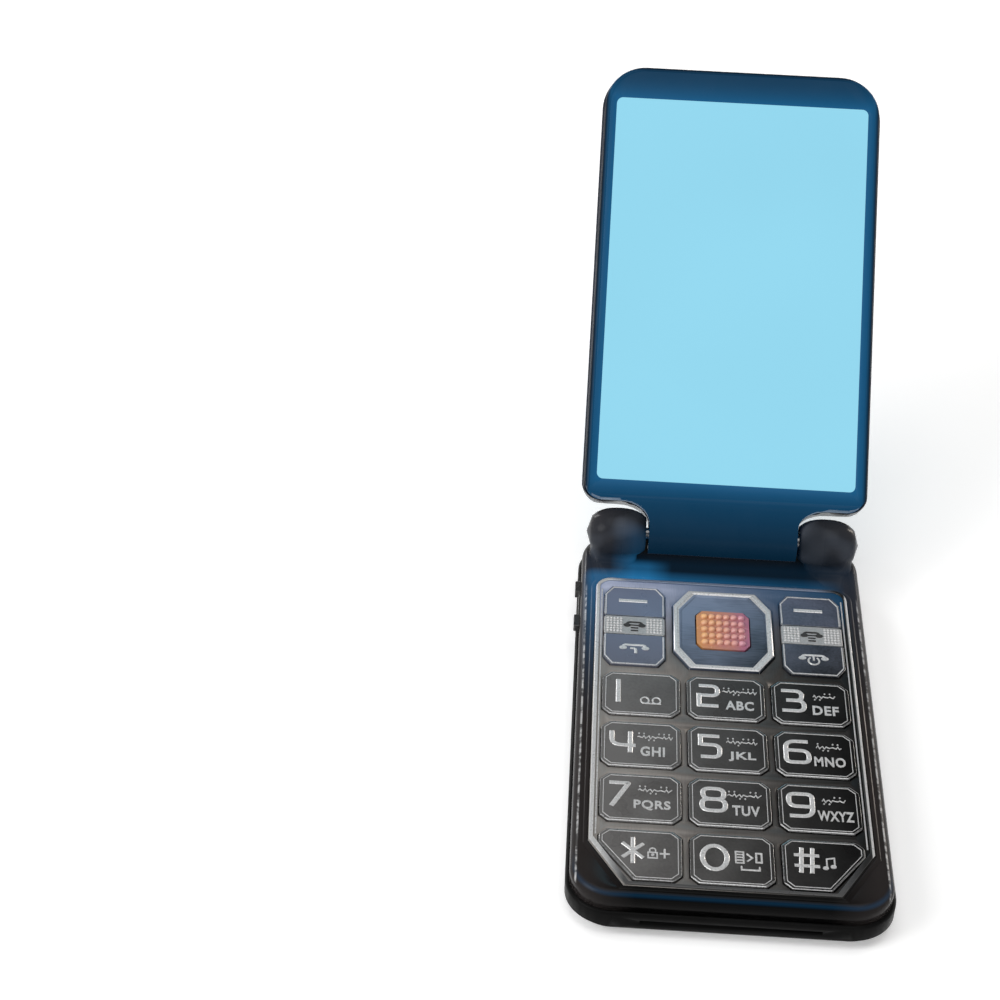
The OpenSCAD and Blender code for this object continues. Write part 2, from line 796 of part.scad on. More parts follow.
// Takes the hinge end off a lid shell at its shoulders and rounds the corners there
module shoulder_cut(w) {
    edge = -shoulder;
    block([-far, edge, -far], [far, far, far]);
    for (side = [-1, 1])
        difference() {
            translate([side * w / 2, edge, 0])
                cube([2 * shoulder_r, 2 * shoulder_r, far], center = true);
            translate([side * (w / 2 - shoulder_r), edge - shoulder_r, -far])
                cylinder(r = shoulder_r, h = 2 * far);
        }
}

// Posts and holes of the lid's screws
module at_lid_screws() {
    for (i = [0, 1], side = [-1, 1])
        translate([side * lid_screw_x[i], -lid_screw_s[i], 0])
        children();
}

// Outer shell of the lid with its slanted edge band
module lid_outer_cover() {
    spare = 8;
    length = lid_reach + spare - shoulder;
    middle = (spare - shoulder - lid_reach) / 2;
    side = [[0, lid_parting], [0, lid_half - 3.1], [1.4, lid_half - 1.7], [1.9, lid_half - 1.1],
        [2.7, lid_half - 0.55], [3.7, lid_half - 0.2], [5, lid_half]];
    inside = [[0, lid_parting - 1], [0, lid_half - 3], [2, cover_z]];
    on_lid() color("#232a36") difference() {
        union() {
            difference() {
                translate([0, middle, 0])
                    slab(lid_w, length, tip_r, tip_r, side);
                difference() {
                    translate([0, middle, 0])
                        slab(lid_w - 2 * wall, length - 2 * wall, tip_r - wall, tip_r - wall, inside);
                    block([-far, -shoulder - wall, -far], [far, far, far]);
                }
                shoulder_cut(lid_w);
            }
            tongue(true);
            at_lid_screws()
                translate([0, 0, lid_parting])
                cylinder(r = 1.3, h = cover_z - lid_parting + cover_t / 2);
        }
        tongue_bores();
        at_lid_screws() cylinder(r = lid_shank_r + 0.02, h = 2 * (cover_z - 0.4), center = true);
        translate([0, -outer_s, 0]) {
            plate(outer_w + 0.1, outer_l + 0.1, outer_r, lid_half - outer_glass_t, 2);
            plate(outer_w - 1, outer_l - 1, outer_r - 0.4, 0, far);
        }
        translate([0, -cam_s, 0]) {
            plate(cam_w + 0.1, cam_w + 0.1, cam_r, lid_half - cam_seat, 2);
            plate(cam_w - 2 * cam_band - 0.8, cam_w - 2 * cam_band - 0.8, cam_r - 1, 0, far);
        }
    }
}

// Inner shell of the lid, which carries the bezel and the display
module lid_inner_frame() {
    spare = 8;
    length = lid_reach - frame_in + spare - shoulder;
    middle = (spare - shoulder - lid_reach + frame_in) / 2;
    side = [[0.7, -lid_half], [0.2, 0.25 - lid_half], [0, 0.7 - lid_half], [0, lid_parting]];
    inside = [[0, frame_z], [0, lid_parting + 1]];
    on_lid() color("#12161f") difference() {
        union() {
            difference() {
                translate([0, middle, 0])
                    slab(frame_w, length, tip_r - frame_in, tip_r - frame_in, side);
                difference() {
                    translate([0, middle, 0])
                        slab(frame_w - 2 * wall, length - 2 * wall, tip_r - frame_in - wall,
                            tip_r - frame_in - wall, inside);
                    block([-far, -shoulder - wall, -far], [far, far, far]);
                }
                shoulder_cut(frame_w);
            }
            tongue(false);
            at_lid_screws()
                translate([0, 0, bezel_z])
                cylinder(r = 1.3, h = lid_parting - bezel_z);
        }
        tongue_bores();
        bezel_plan(0.1, -lid_half - 1, bezel_z);
        translate([0, -screen_s, 0])
            plate(panel_w + 0.4, panel_l + 0.4, 0.6, -lid_half, lid_half);
        at_lid_screws() {
            cylinder(r = lid_shank_r + 0.1, h = far, center = true);
            translate([0, 0, -far]) cylinder(r = lid_head_r + 0.1, h = far + bezel_z + lid_head_h + 0.1);
        }
    }
}

// Solid of the bezel's outline between two heights, grown by g
module bezel_plan(g, z0, z1) {
    r = tip_r - frame_in - rim_w;
    w = bezel_w + 2 * g;
    l = bezel_s1 - bezel_s0 + 2 * g;
    translate([0, -(bezel_s0 + bezel_s1) / 2, z0])
        linear_extrude(z1 - z0)
        union() {
            translate([-w / 2, r - l / 2]) square([w, l - r]);
            translate([r - w / 2, -l / 2]) square([w - 2 * r, l]);
            for (side = [-1, 1])
                translate([side * (w / 2 - r), r - l / 2])
                circle(r);
        }
}

module screen_bezel() {
    on_lid() color("#101c2c") difference() {
        bezel_plan(0, -lid_half, bezel_z);
        translate([0, -screen_s, 0])
            plate(screen_w + 0.1, screen_l + 0.1, screen_r, -far, 2 * far);
    }
}

module main_display_window() {
    on_lid() color("#95d9ee")
        translate([0, -screen_s, 0])
        plate(screen_w, screen_l, screen_r, -lid_half, bezel_t);
}

module main_display_panel() {
    on_lid() color("#7fc4de")
        translate([0, -screen_s, 0])
        plate(panel_w, panel_l, 0.5, panel_z, panel_t);
}

module lid_board() {
    on_lid() color("#2f6b45")
        translate([0, -screen_s, 0])
        plate(screen_w - 6, screen_l - 8, 2, lid_board_z, lid_board_t);
}

module outer_display_window() {
    on_lid() color("#95d9ee")
        translate([0, -outer_s, 0])
        plate(outer_w, outer_l, outer_r, lid_half - outer_glass_t, outer_glass_t);
}

module outer_display_panel() {
    on_lid() color("#7fc4de")
        translate([0, -outer_s, 0])
        plate(outer_w + 1, outer_l + 1, 0.6, cover_z - outer_panel_t - 0.05, outer_panel_t);
}

module camera_ring() {
    on_lid() color("#3a3f47")
        translate([0, -cam_s, 0])
        difference() {
            plate(cam_w, cam_w, cam_r, lid_half - cam_seat, cam_seat + cam_proud);
            plate(cam_w - 2 * cam_band, cam_w - 2 * cam_band, cam_r - cam_band, 0, far);
        }
}

module camera_glass() {
    on_lid() color("#0b0f16")
        translate([0, -cam_s, 0])
        plate(cam_w - 2 * cam_band - 0.04, cam_w - 2 * cam_band - 0.04, cam_r - cam_band,
            lid_half - cam_seat, cam_seat + cam_proud / 3);
}

// Camera block with its lens barrel
module camera_module() {
    body_top = cover_z - 0.1;
    on_lid() color("#2b2b2b")
        translate([0, -cam_s, 0])
        union() {
            plate(6.4, 6.4, 0.5, lid_board_z + lid_board_t + 0.1, body_top - lid_board_z - lid_board_t - 0.1);
            translate([0, 0, body_top - 0.2])
                cylinder(r = 2, h = lid_half - cam_seat - body_top + 0.15);
        }
}

module earpiece() {
    on_lid() color("#6d7278")
        translate([0, 2.9 - lid_reach + wall, 0])
        plate(earpiece_w, earpiece_l, 1, frame_z, lid_parting - frame_z);
}

module lid_magnet() {
    on_lid() color("#7d8084")
        translate([(earpiece_w + magnet_w) / 2 + 1.2, 2.9 - lid_reach + wall, 0])
        plate(magnet_w, 2.6, 0.4, frame_z, 1.2);
}

module lid_screws() {
    on_lid() color("#8a8d92")
        at_lid_screws() {
            translate([0, 0, bezel_z + 0.05]) cylinder(r = lid_head_r, h = lid_head_h);
            translate([0, 0, bezel_z + 0.05]) cylinder(r = lid_shank_r, h = cover_z - bezel_z - 0.6);
        }
}

// Cam and spring barrel, clamped between the two lid shells
module cam_cartridge() {
    on_lid() color("#a2a6ab") difference() {
        rod_x(cartridge_r, 0.3 - tongue_half, cartridge_l - tongue_half);
        rod_x(cam_shaft_r + run_fit, -far, pin_reach - tongue_half + 0.3);
    }
}

// Cable from the hinge axis into the lid
module signal_cable_lid() {
    on_lid() color("#d9a441") union() {
        rod_x(cable_r, cable_channel, tongue_half - pin_reach - 0.05);
        translate([cable_channel, 0, 0]) sphere(r = cable_r);
        translate([cable_channel, 0, 0]) rotate([90, 0, 0]) cylinder(r = cable_r, h = shoulder + 3.5);
    }
}

// Soft keys at the rear of the side columns, with the strip and the call keys in front of them
module soft_key(side) { side_key(side, soft_y, soft_h, side_cuts(1), "#454a52"); }

module strip_key(side) { side_key(side, nav_y, strip_h, same_cuts([0.3, 0.3]), "#b9bcc0"); }

module call_key(side) { side_key(side, call_y, soft_h, side_cuts(-1), "#33363b"); }

// Loose plate under the navigation key that rocks from side to side
module nav_carrier() {
    color("#5a5d61")
        translate([0, nav_y, mat_z + carrier_lift])
        linear_extrude(carrier_t)
        difference() {
            square([nav_w - 6, nav_h - 9], center = true);
            circle(2.2);
        }
}

// Navigation key with its bright cut-cornered band
module nav_key() {
    cuts = same_cuts([nav_cut_x, nav_cut_y]);
    inner_w = nav_w - 2 * nav_band;
    inner_h = nav_h - 2 * nav_band;
    color("#3c4654") difference() {
        key_prism(0, nav_y, nav_w, nav_h, cuts, flange_z, key_top);
        key_prism(0, nav_y, inner_w, inner_h, cuts, key_top - 0.2, key_top + 1);
        key_prism(0, nav_y, select_w + 2 * key_gap, select_h + 2 * key_gap, same_cuts(select_cut),
            flange_z - 1, key_top + 1);
    }
}

// Select key with the stem that reaches its dome through the carrier
module select_key() {
    color("#e08a5a") union() {
        key_prism(0, nav_y, select_w, select_h, same_cuts(select_cut), flange_z, key_top);
        translate([0, nav_y, mat_z + key_travel + 0.05])
            cylinder(r = 1.2, h = flange_z - mat_z - key_travel);
    }
}

// Volume rocker in the left wall, with a raised pad at each end and a flange behind the wall
module volume_rocker() {
    face = -rim_half;
    low = rocker_z - rocker_h / 2;
    high = rocker_z + rocker_h / 2;
    color("#2f333a") union() {
        block([face - rocker_mid, rocker_y - rocker_l / 2, low],
            [face + rocker_in, rocker_y + rocker_l / 2, high]);
        block([face + rocker_in - rocker_flange_t, rocker_y - rocker_l / 2 - rocker_flange_out, low],
            [face + rocker_in, rocker_y + rocker_l / 2 + rocker_flange_out, high]);
        for (s = [-1, 1])
            translate([0, rocker_y + s * (rocker_l - rocker_bump) / 2, 0])
            block([face - rocker_proud, -rocker_bump / 2, low], [face, rocker_bump / 2, high]);
    }
}

// Names of the number keys in reading order
NUMBER_KEYS = ["key_1", "key_2", "key_3", "key_4", "key_5", "key_6", "key_7", "key_8", "key_9",
    "key_star", "key_0", "key_hash"];

base_rear_housing();
base_front_housing();
battery_cover();
battery();
battery_contacts();
main_board();
shield_can();
sim_holder();
card_holder();
loudspeaker();
microphone();
vibration_motor();
antenna();
volume_switches();
key_domes();
key_mat();
keypad_plate();
plate_trim();
base_screws();
pivot_pin();
cam_shaft();
signal_cable_base();
lid_outer_cover();
lid_inner_frame();
screen_bezel();
main_display_window();
main_display_panel();
lid_board();
outer_display_window();
outer_display_panel();
camera_ring();
camera_glass();
camera_module();
earpiece();
lid_magnet();
lid_screws();
cam_cartridge();
signal_cable_lid();
for (i = [0:11])
    number_key(floor(i / 3), i % 3);
soft_key(-1);  // soft_key_left
soft_key(1);  // soft_key_right
strip_key(-1);  // strip_key_left
strip_key(1);  // strip_key_right
call_key(-1);
call_key(1);  // end_key
nav_carrier();
nav_key();
select_key();
volume_rocker();
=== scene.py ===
"""Looks of a clamshell feature phone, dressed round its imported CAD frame."""

import json
import math

import bmesh
import bpy
from mathutils import Matrix, Vector


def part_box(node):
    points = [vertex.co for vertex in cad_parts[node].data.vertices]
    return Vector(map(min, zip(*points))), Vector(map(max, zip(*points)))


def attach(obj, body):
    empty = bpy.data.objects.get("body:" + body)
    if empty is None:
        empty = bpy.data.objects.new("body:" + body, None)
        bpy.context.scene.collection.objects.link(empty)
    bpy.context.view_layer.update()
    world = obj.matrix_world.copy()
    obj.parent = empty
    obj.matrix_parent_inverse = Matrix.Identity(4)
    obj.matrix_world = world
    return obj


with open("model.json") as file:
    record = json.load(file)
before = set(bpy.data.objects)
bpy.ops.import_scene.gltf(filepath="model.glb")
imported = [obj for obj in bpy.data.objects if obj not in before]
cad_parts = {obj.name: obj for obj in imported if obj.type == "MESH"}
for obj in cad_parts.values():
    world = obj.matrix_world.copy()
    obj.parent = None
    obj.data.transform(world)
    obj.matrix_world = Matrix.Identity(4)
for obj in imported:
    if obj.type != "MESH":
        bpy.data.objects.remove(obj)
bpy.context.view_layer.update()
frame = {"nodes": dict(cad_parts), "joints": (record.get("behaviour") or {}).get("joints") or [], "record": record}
NODES = frame["nodes"]
JOINTS = {joint["name"]: joint for joint in frame["joints"]}
MM = 0.001

# Camera of the photograph, in millimetres of the part's frame
CAMERA_PLACE = (-32.073, -319.936, 276.453)
CAMERA_RIGHT = (0.99804, 0.05381, 0.0318)
CAMERA_UP = (-0.05702, 0.57518, 0.81604)
CAMERA_LENS = 82.8
SENSOR = 36

# Frame of the lid as if it were closed: axis at the origin, tip towards -Y, outside up
HINGE = Vector(JOINTS["lid_hinge"]["pos_m"])
OPEN_ANGLE = math.radians(JOINTS["lid_hinge"]["range_deg"][1])
LID = Matrix.Translation(HINGE) @ Matrix.Rotation(-OPEN_ANGLE, 4, "X")

# Raised print on the keys, in millimetres
PRINT_T = 0.09
PRINT_SLOPE = 0.16
LAYER = 0.006
SUNK = 0.03
DIGIT_LINE = 0.95
SIGN_LINE = 0.8
LETTER_H = 2.5
LETTER_SIZE = 1.4
LETTER_BOLD = 0.1
LETTER_SPACE = 1.1
LETTER_Y = -1.85
SCRIPT_AT = (2.5, 1.95)

# Steps in a rounded corner of a line
CORNER_STEPS = 6

# Outlines of the keypad plate and the keys, in millimetres, with cut corners as lengths along x and y
PLATE_CUT = (6.1, 10.2)
PLATE_R = 3
NAV_CUT = (2.9, 4.8)
KEY_CUT = (1.5, 1.5)
END_CUT = (6, 8.4)
SIDE_CUT = (1.4, 2.2)
KEY_FLANGE = 0.3

# Bright lines on the keys and the plate and round the outer display, in millimetres
KEY_LINE = 0.17
KEY_LINE_IN = 0.62
MENU_LINE = 0.3
MENU_LINE_IN = 0.3
SIDE_LINE = 0.3
SIDE_LINE_IN = 1.2
SIDE_LINE_FRONT = 1.5
SIDE_LINE_REAR = 3.5
OUTER_LINE = 0.26
OUTER_LINE_OUT = 0.75
OUTER_LINE_T = 0.2
OUTER_LINE_R = 2.8

# Sections in millimetres: the plate's lip, outwards and up, and the navigation key's band, inwards and up
LIP_LEVELS = [(0.1, -0.3), (0.16, 0.08), (0.4, 0.16), (0.75, 0.09), (1.0, -0.05), (1.0, -0.3)]
BAND_LEVELS = [(0.02, -0.5), (0.02, -0.08), (0.3, 0.12), (0.8, 0.14), (0.95, 0.02), (1.1, 0.04),
               (1.55, -0.19), (1.55, -0.3)]

# Bumps on the select key and points on the strip keys, in millimetres, with counts along x and y
STUD_COUNT = (6, 5)
STUD_MARGIN = 1.6
STUD_R = 0.78
STUD_H = 0.6
STUD_SIDES = 8
POINT_COUNT = (17, 6)
POINT_FIELD = (10.6, 4.5)
POINT_BARE = (2.2, 1.9)
POINT_R = 0.3
POINT_H = 0.2
POINT_SIDES = 6

# Softened edges by slot, in millimetres, the slots whose edges are bare metal, and which edges are softened
SOFT_EDGES = {"number_keys": 0.3, "menu_keys": 0.26, "strip_keys": 0.2, "select": 0.4, "rocker": 0.3,
              "camera": 0.3, "nav": 0.12, "bright_trim": 0.15}
BARE_EDGES = ("number_keys", "menu_keys", "camera")
SHARP_ANGLE = math.radians(40)

# Clean shading: edges that are smooth, how far large faces lead, and points that are joined, in metres
GENTLE_ANGLE = math.radians(32)
FLAT_WEIGHT = 100
WELD = 0.002 * MM

# Colours in linear light
SCREEN_BLUE = (0.288, 0.668, 0.838, 1)
GLOW_BLUE = (0.04, 0.4, 0.92, 1)
WHITE = (1, 1, 1, 1)

# How rough and how metallic the bright trim is
TRIM_ROUGH = (0.26, 0.4)
TRIM_METALLIC = 0.35

# Screen light on the lid: the nodes that make its edge, the share left there, and where its tongue begins
LID_EDGE = ("lid_inner_frame", "screen_bezel")
EDGE_SHARE = 0.1
TONGUE_Y = (-12 * MM, -8 * MM)

# Screen light on the deck: strengths, and the middle of the brightest patch behind the keypad plate
PATCH_X = -15.5 * MM
PATCH_LIGHT = 0.19
ROUND_LIGHT = 0.25
FAINT_LIGHT = 0.022
BRINK_LIGHT = 0.045
PLATE_LIGHT = 0.1

# How the keypad's painted light falls from its left rear to its right front: per metre of x and y, and at the
# origin
PAINTED_LIGHT_X = -23
PAINTED_LIGHT_Y = 13.3
PAINTED_LIGHT_MIDDLE = 0.642

# How the painted light on the plate and the number keys falls from left to right, before it is squared
SIDE_PAINTED_LIGHT_X = -17.6
SIDE_PAINTED_LIGHT_MIDDLE = 0.63

# Surroundings: heights between which the sky dims, its strength at both, and the floor in metres
SKY_TURN = (0.2, 0.5)
SKY_LIGHT = (0.95, 0.12)
FLOOR_R = 4
FLOOR_Z = -0.2 * MM
FLOOR_LIGHT = 0.35

# Lamps: name, place and target in metres, size in metres, power in watts, colour
LAMPS = [("top_lamp", (0, -0.05, 1.1), (0, 0, 0), (0.9, 0.9), 5.4, (1, 1, 1)),
         ("key_lamp", (-0.75, -0.35, 0.65), (0, 0, 0.02), (0.5, 0.5), 5, (1, 1, 1)),
         ("left_lamp", (-0.46, 0.64, 0.22), (0, 0, 0.02), (0.08, 0.3), 0.9, (1, 1, 1)),
         ("right_lamp", (0.55, 0.63, 0.2), (0, 0, 0.02), (0.08, 0.3), 1.4, (1, 0.9, 0.8))]


class Shader:
    """A new material with its node tree and short-hands for wiring it."""

    def __init__(self, name):
        self.material = bpy.data.materials.new(name)
        self.material.use_nodes = True
        self.tree = self.material.node_tree
        self.surface = self.tree.nodes["Principled BSDF"]

    def add(self, kind, **settings):
        """A new node of a kind."""
        made = self.tree.nodes.new(kind)
        for key, value in settings.items():
            setattr(made, key, value)
        return made

    def feed(self, socket, value):
        """Links a socket to another, or gives it a constant."""
        if isinstance(value, bpy.types.NodeSocket):
            self.tree.links.new(value, socket)
        else:
            socket.default_value = value

    def set(self, **values):
        """Feeds inputs of the surface, named with underscores for spaces."""
        for key, value in values.items():
            self.feed(self.surface.inputs[key.replace("_", " ")], value)

    def place(self, stretch):
        """Coordinates of the part's frame in millimetres, stretched."""
        mapping = self.add("ShaderNodeMapping")
        self.feed(mapping.inputs["Vector"], self.add("ShaderNodeTexCoord").outputs["Object"])
        mapping.inputs["Scale"].default_value = [value / MM for value in stretch]
        return mapping.outputs["Vector"]

    def lid_place(self):
        """Coordinates of the closed lid's own frame, in metres."""
        mapping = self.add("ShaderNodeMapping", vector_type="TEXTURE")
        self.feed(mapping.inputs["Vector"], self.add("ShaderNodeTexCoord").outputs["Object"])
        mapping.inputs["Location"].default_value = HINGE
        mapping.inputs["Rotation"].default_value = (-OPEN_ANGLE, 0, 0)
        return mapping.outputs["Vector"]

    def axes(self):
        """The three coordinates of the part's frame, in metres."""
        split = self.add("ShaderNodeSeparateXYZ")
        self.feed(split.inputs[0], self.add("ShaderNodeTexCoord").outputs["Object"])
        return split.outputs

    def noise(self, scale, detail, stretch=(1, 1, 1)):
        """Noise with a scale per millimetre."""
        made = self.add("ShaderNodeTexNoise")
        self.feed(made.inputs["Vector"], self.place(stretch))
        made.inputs["Scale"].default_value = scale
        made.inputs["Detail"].default_value = detail
        return made.outputs["Fac"]

    def maths(self, operation, first, second=0.0):
        """Result of an operation on one or two values."""
        made = self.add("ShaderNodeMath", operation=operation)
        self.feed(made.inputs[0], first)
        self.feed(made.inputs[1], second)
        return made.outputs[0]

    def product(self, first, *others):
        """All the values multiplied together."""
        for other in others:
            first = self.maths("MULTIPLY", first, other)
        return first

    def spread(self, value, low, high, start=0.3, end=0.7):
        """Runs from low to high while a value runs from start to end."""
        made = self.add("ShaderNodeMapRange")
        self.feed(made.inputs["Value"], value)
        made.inputs["From Min"].default_value = start
        made.inputs["From Max"].default_value = end
        made.inputs["To Min"].default_value = low
        made.inputs["To Max"].default_value = high
        return made.outputs["Result"]

    def mix(self, factor, first, second):
        """Colour between two colours."""
        made = self.add("ShaderNodeMix", data_type="RGBA")
        self.feed(made.inputs[0], factor)
        self.feed(made.inputs[6], first)
        self.feed(made.inputs[7], second)
        return made.outputs[2]

    def between(self, value, start, full, fading, end):
        """One between two places, fading to zero on both sides of them."""
        return self.product(self.spread(value, 0, 1, start, full), self.spread(value, 1, 0, fading, end))

    def keypad_painted_light(self):
        """Painted light: one at the left and the rear of the keypad, falling to zero at its right front."""
        x, y = self.axes()[:2]
        slope = self.maths("ADD", self.product(x, PAINTED_LIGHT_X), self.product(y, PAINTED_LIGHT_Y))
        return self.maths("ADD", slope, PAINTED_LIGHT_MIDDLE)

    def side_painted_light(self):
        """Painted light: nearly one at the keypad's left side, falling fast and then slowly to its right side."""
        straight = self.maths("ADD", self.product(self.axes()[0], SIDE_PAINTED_LIGHT_X), SIDE_PAINTED_LIGHT_MIDDLE)
        return self.product(straight, straight)

    def skin(self):
        """The slightly uneven surface of moulded plastic."""
        self.bump(self.noise(0.3, 1), 0.02, 0.05 * MM)

    def bump(self, height, strength, distance):
        """Lets the surface look uneven by a height."""
        made = self.add("ShaderNodeBump")
        made.inputs["Strength"].default_value = strength
        made.inputs["Distance"].default_value = distance
        self.feed(made.inputs["Height"], height)
        self.feed(self.surface.inputs["Normal"], made.outputs["Normal"])

    def past_rectangle(self, places, low, high):
        """Distance in a plane from a rectangle given by two corners, zero inside it."""
        squares = []
        for axis in (0, 1):
            middle = (low[axis] + high[axis]) / 2
            half = (high[axis] - low[axis]) / 2
            off = self.maths("ABSOLUTE", self.maths("SUBTRACT", places[axis], middle))
            over = self.maths("MAXIMUM", self.maths("SUBTRACT", off, half))
            squares.append(self.product(over, over))
        return self.maths("SQRT", self.maths("ADD", *squares))


def grey(value, tint=(1, 1, 1)):
    """A colour of one brightness, tinted by shares of red, green and blue."""
    return (value * tint[0], value * tint[1], value * tint[2], 1)


def gloss_plastic(name, dark, light, rough=(0.16, 0.3), specular=0.3):
    """Moulded gloss plastic with faint clouding, smudges and an uneven skin."""
    shader = Shader(name)
    shader.set(Base_Color=shader.mix(shader.spread(shader.noise(0.09, 4), 0, 1), dark, light))
    shader.set(Roughness=shader.spread(shader.noise(0.35, 2), *rough), Specular_IOR_Level=specular)
    shader.skin()
    return shader


def cast_metal(name, rough, metallic):
    """Metal with a cast grain, still without a colour, and that grain."""
    shader = Shader(name)
    grain = shader.noise(3, 5)
    shader.set(Roughness=shader.spread(grain, *rough), Metallic=metallic)
    shader.bump(grain, 0.08, 0.03 * MM)
    return shader, grain


def metal(name, dark, light, rough=(0.2, 0.36), metallic=1.0):
    """Metal whose cast grain runs from a dark to a light tone."""
    shader, grain = cast_metal(name, rough, metallic)
    shader.set(Base_Color=shader.mix(shader.spread(grain, 0, 1), dark, light))
    return shader


def lid_box(*names):
    """Corners of nodes of the lid in the closed lid's own frame."""
    back = LID.inverted()
    points = [back @ v.co for name in names for v in NODES[name].data.vertices]
    low = Vector([min(p[i] for p in points) for i in range(3)])
    high = Vector([max(p[i] for p in points) for i in range(3)])
    return low, high


def keypad_finish(name, dark, light, rear, rough, span, grain=(1, 1, 1), scale=2.0, sideways=False,
                  turn=(0, 30 * MM), specular=0.3):
    """Worn, uneven finish of the keypad under painted light that falls off to its right front, or only to its
    right, turning to a painted reflection colour towards its rear.
    """
    shader = Shader(name)
    # Painted light that falls off to the right front, or only to the right, and sets how far the colour runs from
    # dark to light
    tone = shader.side_painted_light() if sideways else shader.keypad_painted_light()
    fine = shader.noise(scale, 3, grain)
    cloud = shader.noise(0.16, 2)
    uneven = shader.maths("ADD", shader.spread(fine, -0.08, 0.08), shader.spread(cloud, -0.12, 0.12))
    if sideways:
        uneven = shader.product(uneven, tone)
    share = shader.spread(shader.maths("ADD", tone, uneven), 0, 1, *span)
    # Painted reflection: the light colour turns to the rear colour towards the rear
    pale = shader.mix(shader.spread(shader.axes()[1], 0, 1, *turn), light, rear)
    shader.set(Base_Color=shader.mix(share, dark, pale), Metallic=0.3, Specular_IOR_Level=specular)
    shader.set(Roughness=shader.spread(cloud, *rough))
    shader.bump(fine, 0.04, 0.03 * MM)
    return shader


def plate_light(shader):
    """Faint screen light on the rear of the keypad plate."""
    rear = shader.spread(shader.axes()[1], 0, PLATE_LIGHT, 22 * MM, 32 * MM)
    shader.set(Emission_Color=GLOW_BLUE, Emission_Strength=rear)


def glow(shader, window, reach, strength):
    """Light of a lit window that fades over the surface round it and hardly reaches the lid's edge."""
    low, high = lid_box(window)
    split = shader.add("ShaderNodeSeparateXYZ")
    shader.feed(split.inputs[0], shader.lid_place())
    x, y, z = split.outputs
    far = shader.past_rectangle(split.outputs, low, high)
    wide = shader.maths("POWER", shader.spread(far, 1, 0, 0, reach), 1.8)
    near = shader.maths("POWER", shader.spread(far, 1, 0, 0, reach / 5), 2)
    both = shader.maths("ADD", wide, shader.product(near, 0.6))
    edge_low, edge_high = lid_box(*LID_EDGE)
    side = edge_high.x
    tip = edge_low.y
    aside = shader.maths("ABSOLUTE", x)
    kept = shader.product(shader.spread(aside, 1, EDGE_SHARE, side - MM, side - 0.2 * MM),
                          shader.spread(y, EDGE_SHARE, 1, tip + 0.2 * MM, tip + MM))
    if window == "main_display_window":
        face = lid_box("screen_bezel")[0].z
        inner = shader.spread(z, 1, EDGE_SHARE, face + 0.5 * MM, face + 1.5 * MM)
        tongue = shader.spread(y, 0, 1, *TONGUE_Y)
        kept = shader.product(kept, shader.maths("MAXIMUM", inner, tongue))
    shader.set(Emission_Color=GLOW_BLUE, Emission_Strength=shader.product(both, kept, strength))


def deck_finish():
    """Black gloss with painted reflections on greyer sides and paler patches on the knuckles, a painted glinting
    line near each side rim, a rougher hinge trough, and painted screen light behind the keypad plate and along the
    deck's front edge.
    """
    shader = Shader("base gloss")
    x, y, z = shader.axes()
    low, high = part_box("keypad_plate")
    deck = high.z
    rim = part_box("base_front_housing")[1].x
    aside = shader.maths("ABSOLUTE", x)
    # Painted reflection: the sides turn greyer and warmer than the black middle
    sides = shader.mix(shader.spread(aside, 0, 1, 16 * MM, high.x), grey(0.002), grey(0.02, (1.15, 1, 0.98)))
    # Painted reflection: pale bluish patches on the knuckles above the deck
    raised = shader.spread(z, 0, 1, deck + 0.5 * MM, deck + 3 * MM)
    painted_reflection_patches = shader.product(raised, shader.spread(shader.noise(0.11, 1), 0.2, 1, 0.4, 0.6))
    painted = shader.mix(painted_reflection_patches, sides, grey(0.07, (0.9, 1, 1.2)))
    # Painted highlight: a grey glinting line near each side rim, broken up by noise, near the deck's top and short
    # of its rear
    line = shader.between(aside, rim - 1.25 * MM, rim - 1.1 * MM, rim - 0.95 * MM, rim - 0.8 * MM)
    painted_rim_glint = shader.product(line, shader.spread(shader.noise(0.9, 2), 0.1, 0.9, 0.4, 0.6),
                          shader.spread(y, 1, 0, high.y - 6 * MM, high.y - 2 * MM),
                          shader.spread(z, 0, 1, deck - 1.4 * MM, deck - 0.9 * MM))
    shader.set(Base_Color=shader.mix(painted_rim_glint, painted, grey(0.5)), Specular_IOR_Level=0.05)
    trough = shader.product(shader.spread(y, 0, 1, high.y + MM, high.y + 2 * MM),
                            shader.spread(aside, 1, 0, 18.5 * MM, 19.5 * MM))
    smudges = shader.spread(shader.noise(0.3, 5), 0.14, 0.26)
    shader.set(Roughness=shader.maths("ADD", smudges, shader.product(trough, 0.5)))
    shader.skin()
    back = deck_light(shader, (x, y, z), low, high)
    # Painted reflection of the screen: a faint blue line along the deck's front edge
    brink = shader.product(shader.spread(z, 0, BRINK_LIGHT, deck - 0.8 * MM, deck - 0.4 * MM),
                           shader.spread(z, 1, 0, deck - 0.3 * MM, deck - 0.05 * MM))
    front = shader.product(shader.spread(y, 1, 0, low.y, low.y + 8 * MM), brink)
    shader.set(Emission_Color=GLOW_BLUE, Emission_Strength=shader.maths("ADD", back, front))
    return shader


